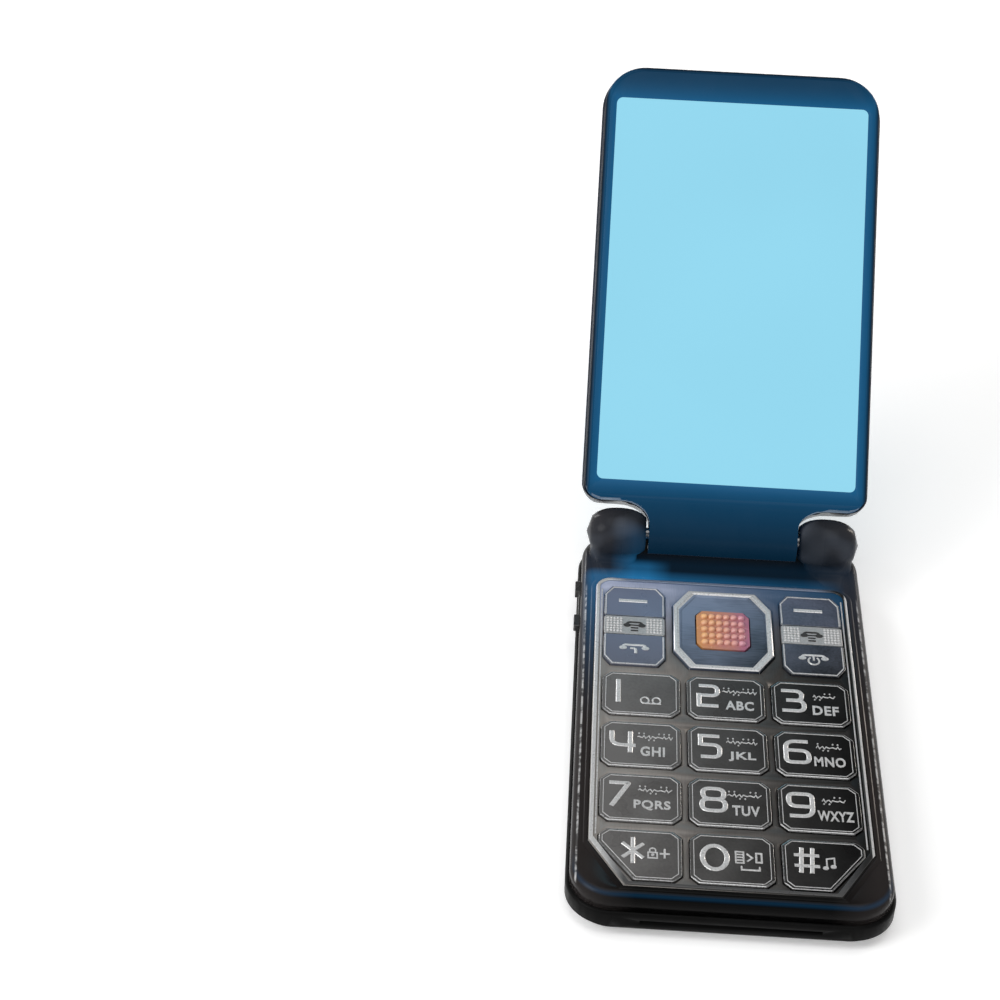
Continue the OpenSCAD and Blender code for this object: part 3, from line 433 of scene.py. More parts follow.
def deck_light(shader, places, low, high):
    """Screen light on the deck behind the keypad plate, whose two corners are given, and round its rear."""
    x, y, z = places
    deck = high.z
    rear = shader.maths("POWER", shader.spread(y, 0, 1, -10 * MM, 40 * MM), 2)
    edge = shader.spread(shader.past_rectangle((x, y), low, high), 1, 0, 0.8 * MM, 3.4 * MM)
    left = shader.product(shader.spread(x, 1, 0.4, -22 * MM, 12 * MM),
                          shader.spread(x, 1, 0, 19 * MM, 24 * MM))
    off = shader.maths("ABSOLUTE", shader.maths("SUBTRACT", x, PATCH_X))
    patch = shader.product(shader.spread(off, PATCH_LIGHT, 0, 1.5 * MM, 6 * MM),
                           shader.spread(y, 1, 0, high.y + 4.5 * MM, high.y + 7 * MM))
    lit = shader.maths("ADD", patch, shader.product(edge, left, ROUND_LIGHT))
    lit = shader.maths("ADD", lit, FAINT_LIGHT)
    level = shader.product(shader.spread(z, 0, 1, deck - MM, deck),
                           shader.spread(z, 1, 0.3, deck + MM, deck + 3 * MM),
                           shader.spread(y, 1, 0, 40.5 * MM, 44.5 * MM))
    return shader.product(rear, level, lit)


def lit_window(name):
    """Lit display behind a clear window, a little uneven like a real backlight."""
    shader = Shader(name)
    cloud = shader.spread(shader.noise(0.03, 1), 0.985, 1.015)
    shader.set(Base_Color=(0.01, 0.02, 0.03, 1), Emission_Color=SCREEN_BLUE, Emission_Strength=cloud)
    shader.set(Roughness=shader.spread(shader.noise(0.4, 4), 0.25, 0.35), Specular_IOR_Level=0.03)
    return shader


def make_materials():
    """One material for every slot."""
    made = {}
    made["base_shell"] = deck_finish()
    made["rear_shell"] = gloss_plastic("rear gloss", grey(0.004), grey(0.009), (0.26, 0.42), 0.04)
    made["lid_shell"] = gloss_plastic("lid gloss", grey(0.02, (0.75, 1, 1.6)), grey(0.032, (0.8, 1, 1.5)),
                                      specular=0.28)
    glow(made["lid_shell"], "outer_display_window", 14 * MM, 0.12)
    made["lid_inside"] = gloss_plastic("lid inside", grey(0.003, (0.6, 1, 1.6)), grey(0.006, (0.6, 1, 1.6)),
                                       (0.24, 0.38), 0.04)
    glow(made["lid_inside"], "main_display_window", 24 * MM, 0.155)
    made["screen"] = lit_window("lit window")
    made["display"] = lit_window("display panel")
    made["keypad_metal"] = keypad_finish("keypad plate", grey(0.006), (0.3, 0.28, 0.262, 1),
                                         (0.5, 0.5, 0.6, 1), (0.36, 0.5), span=(0.04, 0.96),
                                         grain=(1, 0.06, 1), scale=5.0, sideways=True,
                                         turn=(12 * MM, 26 * MM), specular=0.15)
    plate_light(made["keypad_metal"])
    made["bright_trim"] = metal("bright trim", grey(0.55), grey(0.78), TRIM_ROUGH, TRIM_METALLIC)
    made["number_keys"] = keypad_finish("number key", grey(0.006), grey(0.17, (1, 0.97, 0.95)), grey(0.18),
                                        (0.26, 0.4), span=(0.06, 0.92), sideways=True, specular=0.15)
    made["menu_keys"] = keypad_finish("menu key", grey(0.018, (0.9, 1, 1.2)), (0.14, 0.145, 0.18, 1),
                                      (0.19, 0.225, 0.32, 1), (0.26, 0.4), span=(0.2, 1.1))
    made["strip_keys"] = metal("strip silver", grey(0.38), grey(0.52), (0.34, 0.48), 0.4)
    made["nav"] = keypad_finish("nav face", grey(0.03, (0.85, 1, 1.3)), (0.12, 0.135, 0.18, 1),
                                (0.25, 0.31, 0.43, 1), (0.26, 0.38), span=(0.5, 1.1),
                                grain=(0.1, 1, 1), scale=3.0)
    made["select"] = select_finish()
    made["rocker"] = gloss_plastic("rocker gloss", grey(0.02), grey(0.04), (0.2, 0.34), 0.5)
    made["camera"] = gloss_plastic("camera ring", grey(0.02), grey(0.04), (0.1, 0.2), 0.5)
    made["lens"] = gloss_plastic("lens cover", grey(0.003), grey(0.006), (0.05, 0.1), 0.5)
    made["steel"] = metal("steel", grey(0.3), grey(0.5), (0.25, 0.4))
    made["contact"] = metal("plated contact", (0.55, 0.38, 0.12, 1), (0.7, 0.52, 0.22, 1))
    made["board"] = gloss_plastic("laminate", (0.01, 0.08, 0.03, 1), (0.02, 0.13, 0.05, 1), (0.35, 0.5))
    made["inner_plastic"] = gloss_plastic("inner plastic", grey(0.03), grey(0.05), (0.45, 0.6))
    made["mat"] = gloss_plastic("silicone", grey(0.4), grey(0.5), (0.5, 0.65))
    made["cable"] = gloss_plastic("cable skin", (0.4, 0.2, 0.04, 1), (0.55, 0.3, 0.07, 1), (0.3, 0.45))
    return {slot: shader.material for slot, shader in made.items()}


def select_finish():
    """Studded cap whose colour runs from orange to pink from left to right, with painted shade in the hollows
    between the studs and painted light on their tops.
    """
    shader = Shader("select cap")
    low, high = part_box("select_key")
    across = shader.spread(shader.axes()[0], 0, 1, low.x, high.x)
    uneven = shader.maths("ADD", across, shader.spread(shader.noise(0.5, 3), -0.12, 0.12))
    painted_shade_hollows = shader.mix(uneven, (0.62, 0.28, 0.1, 1), (0.4, 0.13, 0.21, 1))
    painted_light_tops = shader.mix(uneven, (0.9, 0.5, 0.2, 1), (0.66, 0.29, 0.39, 1))
    # Painted shade in the hollows between the studs and painted light on their tops, by height above the key's
    # face
    height = shader.spread(shader.axes()[2], 0, 1, high.z + 0.05 * MM, high.z + 0.5 * MM)
    shader.set(Base_Color=shader.mix(height, painted_shade_hollows, painted_light_tops), Specular_IOR_Level=0.7)
    shader.set(Roughness=shader.spread(shader.noise(0.35, 2), 0.18, 0.28))
    shader.skin()
    return shader


def trim_finish():
    """Line round the keypad plate with a painted highlight on its sides, thinner at its right, and painted shade
    along its rear and front, turning to a painted bluish reflection towards its rear.
    """
    shader, grain = cast_metal("plate line", TRIM_ROUGH, TRIM_METALLIC)
    low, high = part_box("keypad_plate")
    x, y = shader.axes()[:2]
    # Painted light on the line: a highlight of bright grained metal on its left side, painted shade on its right
    # side but for a thin outer line, and painted shade along its front turning to a painted bluish reflection
    # along its rear
    side = shader.spread(shader.maths("ABSOLUTE", x), 0, 1, high.x - 6 * MM, high.x - 2 * MM)
    painted_end_light = shader.mix(shader.spread(y, 0, 1, low.y, high.y), grey(0.09), (0.2, 0.24, 0.33, 1))
    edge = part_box("plate_trim")[1].x
    right = shader.between(x, 0, MM, edge - 0.5 * MM, edge - 0.35 * MM)
    bright = shader.mix(right, shader.mix(grain, grey(0.5), grey(0.8)), grey(0.02))
    shader.set(Base_Color=shader.mix(side, painted_end_light, bright))
    return shader


def shade_cleanly():
    """Node tree that joins a solid's faces again and shades only its gentle edges smooth."""
    tree = bpy.data.node_groups.new("clean shading", "GeometryNodeTree")
    tree.interface.new_socket("Geometry", in_out="INPUT", socket_type="NodeSocketGeometry")
    tree.interface.new_socket("Geometry", in_out="OUTPUT", socket_type="NodeSocketGeometry")
    start = tree.nodes.new("NodeGroupInput")
    weld = tree.nodes.new("GeometryNodeMergeByDistance")
    weld.inputs["Distance"].default_value = WELD
    drop = tree.nodes.new("GeometryNodeRemoveAttribute")
    drop.inputs["Name"].default_value = "custom_normal"
    smooth = tree.nodes.new("GeometryNodeSetShadeSmooth")
    edges = tree.nodes.new("GeometryNodeSetShadeSmooth")
    edges.domain = "EDGE"
    angle = tree.nodes.new("GeometryNodeInputMeshEdgeAngle")
    gentle = tree.nodes.new("FunctionNodeCompare")
    gentle.operation = "LESS_THAN"
    gentle.inputs["B"].default_value = GENTLE_ANGLE
    end = tree.nodes.new("NodeGroupOutput")
    tree.links.new(start.outputs[0], weld.inputs["Geometry"])
    tree.links.new(weld.outputs["Geometry"], drop.inputs["Geometry"])
    tree.links.new(drop.outputs["Geometry"], smooth.inputs["Geometry"])
    tree.links.new(smooth.outputs["Geometry"], edges.inputs["Geometry"])
    tree.links.new(angle.outputs["Unsigned Angle"], gentle.inputs["A"])
    tree.links.new(gentle.outputs["Result"], edges.inputs["Selection"])
    tree.links.new(edges.outputs["Geometry"], end.inputs[0])
    return tree


def dress_nodes(materials):
    """Gives every CAD node its finish, clean shading and softened edges."""
    tree = shade_cleanly()
    for part in frame["record"]["subparts"]:
        node = NODES[part["node"]]
        slot = part["material_slot"]
        node.data.materials.clear()
        node.data.materials.append(materials[slot])
        clean = node.modifiers.new("clean", "NODES")
        clean.node_group = tree
        if slot in SOFT_EDGES:
            bevel = node.modifiers.new("soft edges", "BEVEL")
            bevel.width = SOFT_EDGES[slot] * MM
            bevel.segments = 2
            bevel.limit_method = "ANGLE"
            bevel.angle_limit = SHARP_ANGLE
            bevel.harden_normals = True
            if slot in BARE_EDGES:
                node.data.materials.append(materials["steel"])
                bevel.material = 1
        else:
            flat = node.modifiers.new("flat faces", "WEIGHTED_NORMAL")
            flat.keep_sharp = True
            flat.weight = FLAT_WEIGHT
    trim = NODES["plate_trim"].data.materials
    trim.clear()
    trim.append(trim_finish().material)


def new_piece(name, bm, body, slot, materials, place=Matrix.Identity(4)):
    """Makes a piece from millimetre geometry, sets it in the part's frame and lets it ride on a body."""
    mesh = bpy.data.meshes.new(name)
    bm.to_mesh(mesh)
    bm.free()
    mesh.transform(place @ Matrix.Scale(MM, 4))
    mesh.materials.append(materials[slot])
    piece = bpy.data.objects.new(name, mesh)
    bpy.context.scene.collection.objects.link(piece)
    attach(piece, body)
    return piece


def moved(points, at):
    """Points shifted by a place."""
    return [Vector(point) + Vector(at) for point in points]


def rounded(points, radius, closed=False):
    """Points of a line whose corners are turned into curves."""
    made = []
    count = len(points)
    for i, point in enumerate(points):
        here = Vector(point)
        if not closed and i in (0, count - 1):
            made.append(here)
            continue
        before = Vector(points[i - 1]) - here
        after = Vector(points[(i + 1) % count]) - here
        reach = min(radius / math.tan(before.angle(after) / 2), before.length / 2, after.length / 2)
        start = here + before.normalized() * reach
        end = here + after.normalized() * reach
        for k in range(CORNER_STEPS + 1):
            t = k / CORNER_STEPS
            made.append((1 - t) ** 2 * start + 2 * t * (1 - t) * here + t * t * end)
    return made


def arc(middle, across, along, start, end, steps):
    """Points of part of an ellipse, angles in degrees."""
    made = []
    for i in range(steps + 1):
        angle = math.radians(start + (end - start) * i / steps)
        made.append(Vector((middle[0] + across * math.cos(angle), middle[1] + along * math.sin(angle))))
    return made


class Print:
    """Raised print of one key, built up from closed bars, patches and letters."""

    def __init__(self):
        self.bm = bmesh.new()
        self.height = PRINT_T

    def loops(self, rows, closed):
        """Closes rows of points into a solid, each row being a loop round it."""
        rows = [[self.bm.verts.new(point) for point in row] for row in rows]
        around = len(rows[0])
        for i in range(len(rows) if closed else len(rows) - 1):
            first = rows[i]
            second = rows[(i + 1) % len(rows)]
            for j in range(around):
                k = (j + 1) % around
                self.bm.faces.new((first[j], first[k], second[k], second[j]))
        if not closed:
            self.bm.faces.new(rows[0][::-1])
            self.bm.faces.new(rows[-1])

    def bar(self, points, width, closed=False):
        """Bar of one width along a line, with mitred corners and sloped sides."""
        self.height += LAYER
        points = [Vector(point) for point in points]
        count = len(points)
        slope = min(PRINT_SLOPE, width / 4)
        profile = [(width / 2, -SUNK), (width / 2 - slope, self.height), (slope - width / 2, self.height),
                   (-width / 2, -SUNK)]
        rows = []
        for i, here in enumerate(points):
            ahead = points[(i + 1) % count] - here if closed or i < count - 1 else here - points[i - 1]
            behind = here - points[i - 1] if closed or i > 0 else ahead
            way = (ahead.normalized() + behind.normalized()).normalized()
            across = Vector((-way.y, way.x))
            side = Vector((-ahead.y, ahead.x)).normalized()
            across /= max(0.5, across.dot(side))
            rows.append([(*(here + across * off), z) for off, z in profile])
        self.loops(rows, closed)

    def patch(self, points):
        """Filled shape with upright sides."""
        self.height += LAYER
        self.loops([[(p[0], p[1], z) for p in points] for z in (-SUNK, self.height)], False)

    def letters(self, words, width, at):
        """Plain letters of a set width and height, centred on a place."""
        curve = bpy.data.curves.new("letters", "FONT")
        curve.body = words
        curve.size = LETTER_H * LETTER_SIZE
        curve.offset = LETTER_BOLD
        curve.resolution_u = 3
        curve.space_character = LETTER_SPACE
        curve.extrude = (PRINT_T + SUNK) / 2
        holder = bpy.data.objects.new("letters", curve)
        bpy.context.scene.collection.objects.link(holder)
        bpy.context.view_layer.update()
        graph = bpy.context.evaluated_depsgraph_get()
        mesh = bpy.data.meshes.new_from_object(holder.evaluated_get(graph))
        xs = [v.co.x for v in mesh.vertices]
        ys = [v.co.y for v in mesh.vertices]
        middle = Vector(((min(xs) + max(xs)) / 2, (min(ys) + max(ys)) / 2, 0))
        size = Matrix.Diagonal((width / (max(xs) - min(xs)), LETTER_H / (max(ys) - min(ys)), 1, 1))
        lift = (PRINT_T - SUNK) / 2
        mesh.transform(Matrix.Translation((*at, lift)) @ size @ Matrix.Translation(-middle))
        self.bm.from_mesh(mesh)
        bpy.data.objects.remove(holder)
        bpy.data.curves.remove(curve)
        bpy.data.meshes.remove(mesh)


def digit_lines(name):
    """Lines of a wide plain digit as (points, corner radius, closed), about half widths and a half height."""
    x = 1.68
    wide = 2.0
    y = 2.75
    table = {
        "1": [([(0, y + 0.4), (0, -y - 0.4)], 0, False)],
        "2": [([(-x, y), (x, y), (x, 0.1), (-x, 0.1)], 1.15, False),
              ([(-x, 0.5), (-x, -y), (x + 0.1, -y)], 0, False)],
        "3": [([(-wide, y), (x, y), (x, 0.15), (0.5 - x, 0.15)], 1.25, False),
              ([(0.5 - x, 0.1), (wide, 0.1), (wide, -y), (-wide, -y)], 1.25, False)],
        "4": [([(-x, y), (-x, -0.8), (wide + 0.5, -0.8)], 1.7, False),
              ([(x - 0.1, y), (x - 0.1, -y)], 0, False)],
        "5": [([(x, y), (-x, y), (-x, 0.1)], 0, False),
              ([(-x, 0.45), (x, 0.45), (x, -y), (-x, -y)], 1.3, False)],
        "6": [([(wide, y), (-wide, y), (-wide, -y), (0, -y)], 1.9, False),
              ([(-wide + 0.3, 0.35), (wide, 0.35), (wide, -y), (-0.3, -y)], 1.4, False)],
        "7": [([(-x, y), (x, y), (-0.75 * x, -y - 0.4)], 0.15, False)],
        "8": [([(0.2 - wide, y), (wide - 0.2, y), (wide - 0.2, 0.15), (0.2 - wide, 0.15)], 1.25, True),
              ([(-wide, 0.1), (wide, 0.1), (wide, -y), (-wide, -y)], 1.35, True)],
        "9": [([(-wide, -y), (wide, -y), (wide, y), (0, y)], 1.9, False),
              ([(wide - 0.3, -0.35), (-wide, -0.35), (-wide, y), (0.3, y)], 1.4, False)],
        "star": [([(0, y + 0.3), (0, -y - 0.3)], 0, False),
                 ([(-1.75, 1.7), (1.75, -1.7)], 0, False),
                 ([(-1.75, -1.7), (1.75, 1.7)], 0, False)],
        "hash": [([(-0.75, y + 0.2), (-1.05, -y - 0.2)], 0, False),
                 ([(1.05, y + 0.2), (0.75, -y - 0.2)], 0, False),
                 ([(-2.1, 1.25), (2.1, 1.25)], 0, False),
                 ([(-2.1, -1.25), (2.1, -1.25)], 0, False)],
    }
    return table[name]


def digit(ink, name, at):
    """Prints one large digit, star or hash."""
    if name == "0":
        ink.bar(moved(arc((0, 0), 2.05, 2.8, 0, 345, 23), at), DIGIT_LINE, True)
        return
    width = SIGN_LINE if name in ("star", "hash") else DIGIT_LINE
    for points, radius, closed in digit_lines(name):
        line = rounded(points, radius, closed) if radius else points
        ink.bar(moved(line, at), width, closed)


def small_marks(ink, width, at):
    """Fine uneven line with dots that stands for a second line of letters."""
    count = round(width / 0.3)
    line = []
    for i in range(count + 1):
        rise = 0.24 * math.sin(2.1 * i) + 0.2 * math.sin(3.7 * i + width)
        line.append((width * (i / count - 0.5), rise))
    ink.bar(moved(line, at), 0.24)
    for i in range(1, count, 3):
        rise = 0.85 if math.sin(1.7 * i + width) > -0.4 else -0.85
        ink.patch(moved(arc((line[i][0], rise), 0.16, 0.19, 0, 300, 5), at))


def voicemail(ink, at):
    """Two rings on a line."""
    for side in (-1, 1):
        ink.bar(moved(arc((side * 1.05, 0), 0.72, 0.85, 0, 345, 15), at), 0.36, True)
    ink.bar(moved([(-1.1, -0.85), (1.85, -0.85)], at), 0.36)


def padlock(ink, at):
    """Bow over a box with a keyhole."""
    ink.bar(moved(rounded([(-0.5, 0), (-0.5, 1.1), (0.5, 1.1), (0.5, 0)], 0.5), at), 0.3)
    ink.bar(moved([(-0.75, 0.1), (0.75, 0.1), (0.75, -1.2), (-0.75, -1.2)], at), 0.3, True)
    ink.patch(moved(arc((0, -0.5), 0.28, 0.3, 0, 315, 7), at))


def plus(ink, at):
    """Plus sign."""
    ink.bar(moved([(-0.85, 0), (0.85, 0)], at), 0.4)
    ink.bar(moved([(0, 1.1), (0, -1.1)], at), 0.4)


def cell_marks(ink, at):
    """Small striped cell, an arrow and a slim box in a row, with a space bar under them."""
    ink.bar(moved([(-2.4, 1.3), (-1.1, 1.3), (-1.1, -1.3), (-2.4, -1.3)], at), 0.34, True)
    for y in (-0.65, 0, 0.65):
        ink.bar(moved([(-2.3, y), (-1.2, y)], at), 0.3)
    ink.bar(moved([(-0.55, 0.9), (0.35, 0), (-0.55, -0.9)], at), 0.36)
    ink.bar(moved([(1.0, 1.1), (1.9, 1.1), (1.9, -1.0), (1.0, -1.0)], at), 0.38, True)
    ink.bar(moved([(-1.5, -2.1), (-1.5, -2.9), (1.5, -2.9), (1.5, -2.1)], at), 0.36)


def note(ink, at):
    """Two notes joined by a beam."""
    ink.bar(moved([(-0.6, -1.0), (-0.6, 1.1), (0.7, 1.4), (0.7, -0.6)], at), 0.32)
    for head in ((-0.85, -1.1), (0.45, -0.7)):
        ink.patch(moved(arc(head, 0.5, 0.42, 0, 330, 11), at))


def dash(ink, at):
    """Long dash."""
    ink.bar(moved([(-2.7, 0), (2.7, 0)], at), 1.0)


def handset(ink, at, width=5.4):
    """Handset lying as a low arch with its two thick ends hanging down."""
    half = width / 2
    arch = [(-half + 0.45, -1.0), (-half + 0.75, 0), (half - 0.75, 0), (half - 0.45, -1.0)]
    ink.bar(moved(rounded(arch, 0.7), at), 0.62)
    for side in (-1, 1):
        ink.patch(moved(arc((side * (half - 0.62), -0.95), 0.72, 0.5, 0, 330, 11), at))


def call_stem(ink, at):
    """Bent stem under the call key's handset."""
    ink.bar(moved(rounded([(-0.75, -1.0), (0.3, -1.0), (0.3, -2.5)], 0.5), at), 0.6)


def power_sign(ink, at):
    """Open ring with a stroke in its gap."""
    ink.bar(moved(arc((0, -1.4), 1.0, 1.1, 130, 410, 14), at), 0.42)
    ink.bar(moved([(0, -0.1), (0, -1.4)], at), 0.42)


def key_place(node):
    """Matrix of the middle of a key's top face."""
    low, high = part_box(node)
    return Matrix.Translation(((low.x + high.x) / 2, (low.y + high.y) / 2, high.z))


def key_outline(key, inset):
    """Corners of a number key's top face about its middle, drawn in by inset."""
    low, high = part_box(key)
    x = (high.x - low.x) / 2 / MM - KEY_FLANGE - inset
    y = (high.y - low.y) / 2 / MM - KEY_FLANGE - inset
    left = END_CUT if key == "key_star" else KEY_CUT
    right = END_CUT if key == "key_hash" else KEY_CUT
    trim = inset * 0.5
    return [(left[0] - trim - x, -y), (x - right[0] + trim, -y), (x, right[1] - trim - y),
            (x, y - KEY_CUT[1] + trim), (x - KEY_CUT[0] + trim, y), (KEY_CUT[0] - trim - x, y),
            (-x, y - KEY_CUT[1] + trim), (-x, left[1] - trim - y)]


def make_legends(materials):
    """Raised silver print and a thin line on the number keys, the soft keys and the call and end keys."""
    # Digit and its place, letters, their width and middle, width of the fine marks, other signs
    keys = {
        "key_1": ("1", (-4.1, 0.5), "", 0, 0, 0, [(voicemail, (1.75, -1.8))]),
        "key_2": ("2", (-3.15, 0.55), "ABC", 5.1, 2.45, 6.2, []),
        "key_3": ("3", (-3.2, 0.55), "DEF", 4.7, 2.6, 4.0, []),
        "key_4": ("4", (-3.4, 0.4), "GHI", 4.3, 2.1, 6.2, []),
        "key_5": ("5", (-3.1, 0.55), "JKL", 4.8, 2.5, 5.4, []),
        "key_6": ("6", (-3.1, 0.5), "MNO", 5.5, 2.5, 4.4, []),
        "key_7": ("7", (-3.7, 0.75), "PQRS", 6.3, 2.0, 5.8, []),
        "key_8": ("8", (-2.8, 0.65), "TUV", 4.7, 2.7, 5.8, []),
        "key_9": ("9", (-3.2, 0.6), "WXYZ", 6.2, 2.65, 4.0, []),
        "key_star": ("star", (-1.2, 0.85), "", 0, 0, 0, [(padlock, (2.1, 0.5)), (plus, (4.1, 0.4))]),
        "key_0": ("0", (-2.9, 0.35), "", 0, 0, 0, [(cell_marks, (3.0, 0.7))]),
        "key_hash": ("hash", (-2.9, 0.9), "", 0, 0, 0, [(note, (1.0, 0.4))]),
    }
    for key, (name, at, words, width, across, script, icons) in keys.items():
        ink = Print()
        digit(ink, name, at)
        if words:
            ink.letters(words, width, (across, LETTER_Y))
            small_marks(ink, script, SCRIPT_AT)
        for icon, place in icons:
            icon(ink, place)
        line = Print()
        line.bar(key_outline(key, KEY_LINE_IN), KEY_LINE, True)
        new_piece("line_" + key, line.bm, key, "bright_trim", materials, key_place(key))
        new_piece("print_" + key, ink.bm, key, "bright_trim", materials, key_place(key))
    signs = {"soft_key_left": [(dash, (-0.3, 0.2))], "soft_key_right": [(dash, (-0.3, 0.2))],
             "call_key": [(handset, (0, 1.4)), (call_stem, (0, 1.4))],
             "end_key": [(handset, (0, 1.4)), (power_sign, (0, 1.2))]}
    for key, icons in signs.items():
        ink = Print()
        for icon, place in icons:
            icon(ink, place)
        new_piece("print_" + key, ink.bm, key, "bright_trim", materials, key_place(key))
        line = Print()
        line.bar(side_outline(key, 1 if key.startswith("soft") else -1), MENU_LINE)
        new_piece("line_" + key, line.bm, key, "bright_trim", materials, key_place(key))


def side_outline(key, end):
    """Line along the two sides and the cut end of a soft key, a call key or an end key."""
    low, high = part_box(key)
    x = (high.x - low.x) / 2 / MM - KEY_FLANGE - MENU_LINE_IN
    y = (high.y - low.y) / 2 / MM - MENU_LINE_IN
    right = [(x - SIDE_CUT[0], end * y), (x, end * (y - SIDE_CUT[1])), (x, -end * y)]
    return [(-a, b) for a, b in reversed(right)] + right


def plate_outline(grow):
    """Corners of the keypad plate's outline in the part's frame, in millimetres."""
    low, high = [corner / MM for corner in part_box("keypad_plate")]
    half = high.x + grow
    y0 = low.y - grow
    y1 = high.y + grow
    radius = PLATE_R + grow
    rear = [(half - radius + p.x, y1 - radius + p.y) for p in arc((0, 0), radius, radius, 0, 90, 8)]
    right = [(half - PLATE_CUT[0], y0), (half, y0 + PLATE_CUT[1])] + rear
    return right + [(-x, y) for x, y in reversed(right)]


def make_plate_edge(materials):
    """Low lip of the housing round the keypad plate, and bright lines along the plate's sides."""
    low, high = [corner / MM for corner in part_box("keypad_plate")]
    bm = bmesh.new()
    loops = [[(*p, high.z + z) for p in plate_outline(grow)] for grow, z in LIP_LEVELS]
    ring_band(bm, loops + loops[:1])
    weld_piece(new_piece("keypad_lip", bm, "base", "base_shell", materials))
    front = low.y + PLATE_CUT[1] + SIDE_LINE_FRONT
    rear = high.y - SIDE_LINE_REAR
    lines = Print()
    for side in (-1, 1):
        x = side * (high.x - SIDE_LINE_IN)
        lines.bar([(x, front), (x, rear)], SIDE_LINE)
    place = Matrix.Translation((0, 0, high.z * MM))
    new_piece("plate_lines", lines.bm, "base", "bright_trim", materials, place)


def cut_corner_ring(width, length, cut_x, cut_y, inset):
    """Corners of a rectangle with cut corners, drawn in by inset."""
    x = width / 2 - inset
    y = length / 2 - inset
    return [(cut_x - x, -y), (x - cut_x, -y), (x, cut_y - y), (x, y - cut_y),
            (x - cut_x, y), (cut_x - x, y), (-x, y - cut_y), (-x, cut_y - y)]


def weld_piece(piece):
    """Joins the doubled points of a piece's mesh."""
    bm = bmesh.new()
    bm.from_mesh(piece.data)
    bmesh.ops.remove_doubles(bm, verts=bm.verts, dist=0.001 * MM)
    bmesh.ops.recalc_face_normals(bm, faces=bm.faces)
    bm.to_mesh(piece.data)
    bm.free()


def ring_band(bm, loops):
    """Band of faces between loops of (x, y, z), and the points of its last loop."""
    rows = [[bm.verts.new(point) for point in loop] for loop in loops]
    count = len(rows[0])
    for first, second in zip(rows, rows[1:]):
        for i in range(count):
            j = (i + 1) % count
            bm.faces.new((first[i], first[j], second[j], second[i]))
    return rows[-1]


def make_nav_band(materials):
    """Bright band with a ridge round the navigation key."""
    low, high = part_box("nav_key")
    size = (high - low) / MM
    loops = [[(*p, z) for p in cut_corner_ring(size.x, size.y, *NAV_CUT, inset)] for inset, z in BAND_LEVELS]
    bm = bmesh.new()
    ring_band(bm, loops + loops[:1])
    weld_piece(new_piece("nav_band", bm, "nav_key", "bright_trim", materials, key_place("nav_key")))


def stud(bm, x, y, radius, height, sides):
    """Small rounded bump."""
    turns = [2 * math.pi * i / sides for i in range(sides)]
    loops = []
    for share, up in ((1, 0), (0.8, 0.6), (0.4, 0.92)):
        reach = radius * share
        loops.append([(x + reach * math.cos(turn), y + reach * math.sin(turn), height * up)
                      for turn in turns])
    bm.faces.new(ring_band(bm, loops))


def grid(count, field):
    """Middles of the cells of a grid that fills a field about the origin."""
    for i in range(count[0]):
        for j in range(count[1]):
            x = (i - (count[0] - 1) / 2) * field[0] / count[0]
            y = (j - (count[1] - 1) / 2) * field[1] / count[1]
            yield x, y


def make_studs(materials):
    """Bumps on the select key, and the fine points and the sign on the strip keys."""
    low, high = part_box("select_key")
    size = (high - low) / MM
    bm = bmesh.new()
    for x, y in grid(STUD_COUNT, (size.x - STUD_MARGIN, size.y - STUD_MARGIN)):
        stud(bm, x, y, STUD_R, STUD_H, STUD_SIDES)
    piece = new_piece("select_studs", bm, "select_key", "select", materials, key_place("select_key"))
    for face in piece.data.polygons:
        face.use_smooth = True
    for key in ("strip_key_left", "strip_key_right"):
        bm = bmesh.new()
        for x, y in grid(POINT_COUNT, POINT_FIELD):
            if abs(x) > POINT_BARE[0] or abs(y) > POINT_BARE[1]:
                stud(bm, x, y, POINT_R, POINT_H, POINT_SIDES)
        new_piece("points_" + key, bm, key, "bright_trim", materials, key_place(key))
        ink = Print()
        handset(ink, (0, 0.9), 4.0)
        for y in (0.0, -0.8, -1.6):
            ink.bar([(-0.7, y), (0.7, y)], 0.4)
        new_piece("print_" + key, ink.bm, key, "inner_plastic", materials, key_place(key))


def make_outer_frame(materials):
    """Thin line round the outer display, a little outside it, that glows with the screen's light."""
    low, high = lid_box("outer_display_window")
    x = high.x / MM + OUTER_LINE_OUT
    y0 = low.y / MM - OUTER_LINE_OUT
    y1 = high.y / MM + OUTER_LINE_OUT
    ink = Print()
    ink.height = OUTER_LINE_T
    ink.bar(rounded([(-x, y0), (x, y0), (x, y1), (-x, y1)], OUTER_LINE_R, True), OUTER_LINE, True)
    place = LID @ Matrix.Translation((0, 0, high.z - OUTER_LINE_T * MM))
    new_piece("outer_display_line", ink.bm, "lid", "screen", materials, place)


def make_camera():
    """Camera of the photograph."""
    data = bpy.data.cameras.new("camera")
    data.lens = CAMERA_LENS
    data.sensor_width = SENSOR
    data.sensor_fit = "HORIZONTAL"
    data.clip_start = 0.01
    camera = bpy.data.objects.new("camera", data)
    right = Vector(CAMERA_RIGHT).normalized()
    up = Vector(CAMERA_UP)
    up = (up - right * up.dot(right)).normalized()
    turn = Matrix((right, up, right.cross(up))).transposed().to_4x4()
    camera.matrix_world = Matrix.Translation(Vector(CAMERA_PLACE) * MM) @ turn
    bpy.context.scene.collection.objects.link(camera)
    bpy.context.scene.camera = camera


def area_light(name, place, target, size, power, colour):
    """Flat lamp that faces a target."""
    data = bpy.data.lights.new(name, "AREA")
    data.shape = "RECTANGLE"
    data.size = size[0]
    data.size_y = size[1]
    data.energy = power
    data.color = colour
    lamp = bpy.data.objects.new(name, data)
    way = Vector(target) - Vector(place)
    lamp.matrix_world = Matrix.Translation(place) @ way.to_track_quat("-Z", "Y").to_matrix().to_4x4()
    bpy.context.scene.collection.objects.link(lamp)


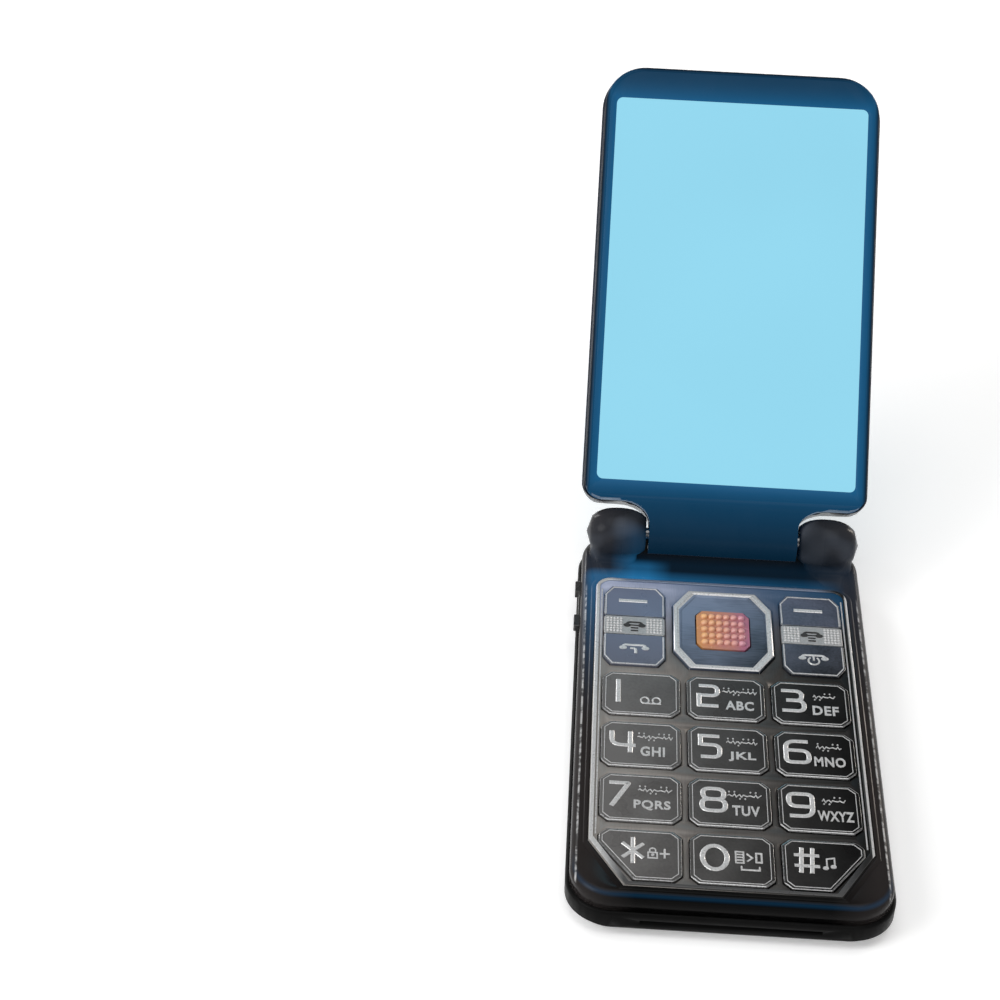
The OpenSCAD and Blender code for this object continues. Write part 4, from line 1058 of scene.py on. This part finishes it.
def seen_directly(tree):
    """One for rays from the camera and for rays in gloss and glass, zero for the rest."""
    path = tree.nodes.new("ShaderNodeLightPath")
    total = path.outputs["Is Camera Ray"]
    for name in ("Is Glossy Ray", "Is Transmission Ray"):
        either = tree.nodes.new("ShaderNodeMath")
        either.operation = "MAXIMUM"
        tree.links.new(total, either.inputs[0])
        tree.links.new(path.outputs[name], either.inputs[1])
        total = either.outputs[0]
    return total


def make_world():
    """Plain surroundings, pale near the horizon and dim overhead."""
    world = bpy.data.worlds.new("studio")
    bpy.context.scene.world = world
    world.use_nodes = True
    tree = world.node_tree
    split = tree.nodes.new("ShaderNodeSeparateXYZ")
    tree.links.new(tree.nodes.new("ShaderNodeTexCoord").outputs["Generated"], split.inputs[0])
    fall = tree.nodes.new("ShaderNodeMapRange")
    tree.links.new(split.outputs["Z"], fall.inputs["Value"])
    for name, value in zip(("From Min", "From Max", "To Min", "To Max"), SKY_TURN + SKY_LIGHT):
        fall.inputs[name].default_value = value
    tree.links.new(fall.outputs["Result"], tree.nodes["Background"].inputs["Strength"])
    tree.nodes["Background"].inputs["Color"].default_value = WHITE


def make_stage():
    """Pale floor and soft studio lamps."""
    shader = Shader("floor")
    shader.set(Base_Color=shader.mix(shader.noise(0.004, 2), grey(0.86), grey(0.9)), Roughness=0.8)
    shader.set(Specular_IOR_Level=0.1, Emission_Color=WHITE)
    shader.set(Emission_Strength=shader.product(seen_directly(shader.tree), FLOOR_LIGHT))
    bm = bmesh.new()
    bmesh.ops.create_circle(bm, cap_ends=True, segments=64, radius=FLOOR_R)
    mesh = bpy.data.meshes.new("floor")
    bm.to_mesh(mesh)
    bm.free()
    mesh.materials.append(shader.material)
    floor = bpy.data.objects.new("floor", mesh)
    floor.location.z = FLOOR_Z
    bpy.context.scene.collection.objects.link(floor)
    for lamp in LAMPS:
        area_light(*lamp)


make_camera()
MATERIALS = make_materials()
dress_nodes(MATERIALS)
make_legends(MATERIALS)
make_nav_band(MATERIALS)
make_plate_edge(MATERIALS)
make_studs(MATERIALS)
make_outer_frame(MATERIALS)
make_world()
make_stage()
bpy.context.scene.view_settings.view_transform = "Standard"
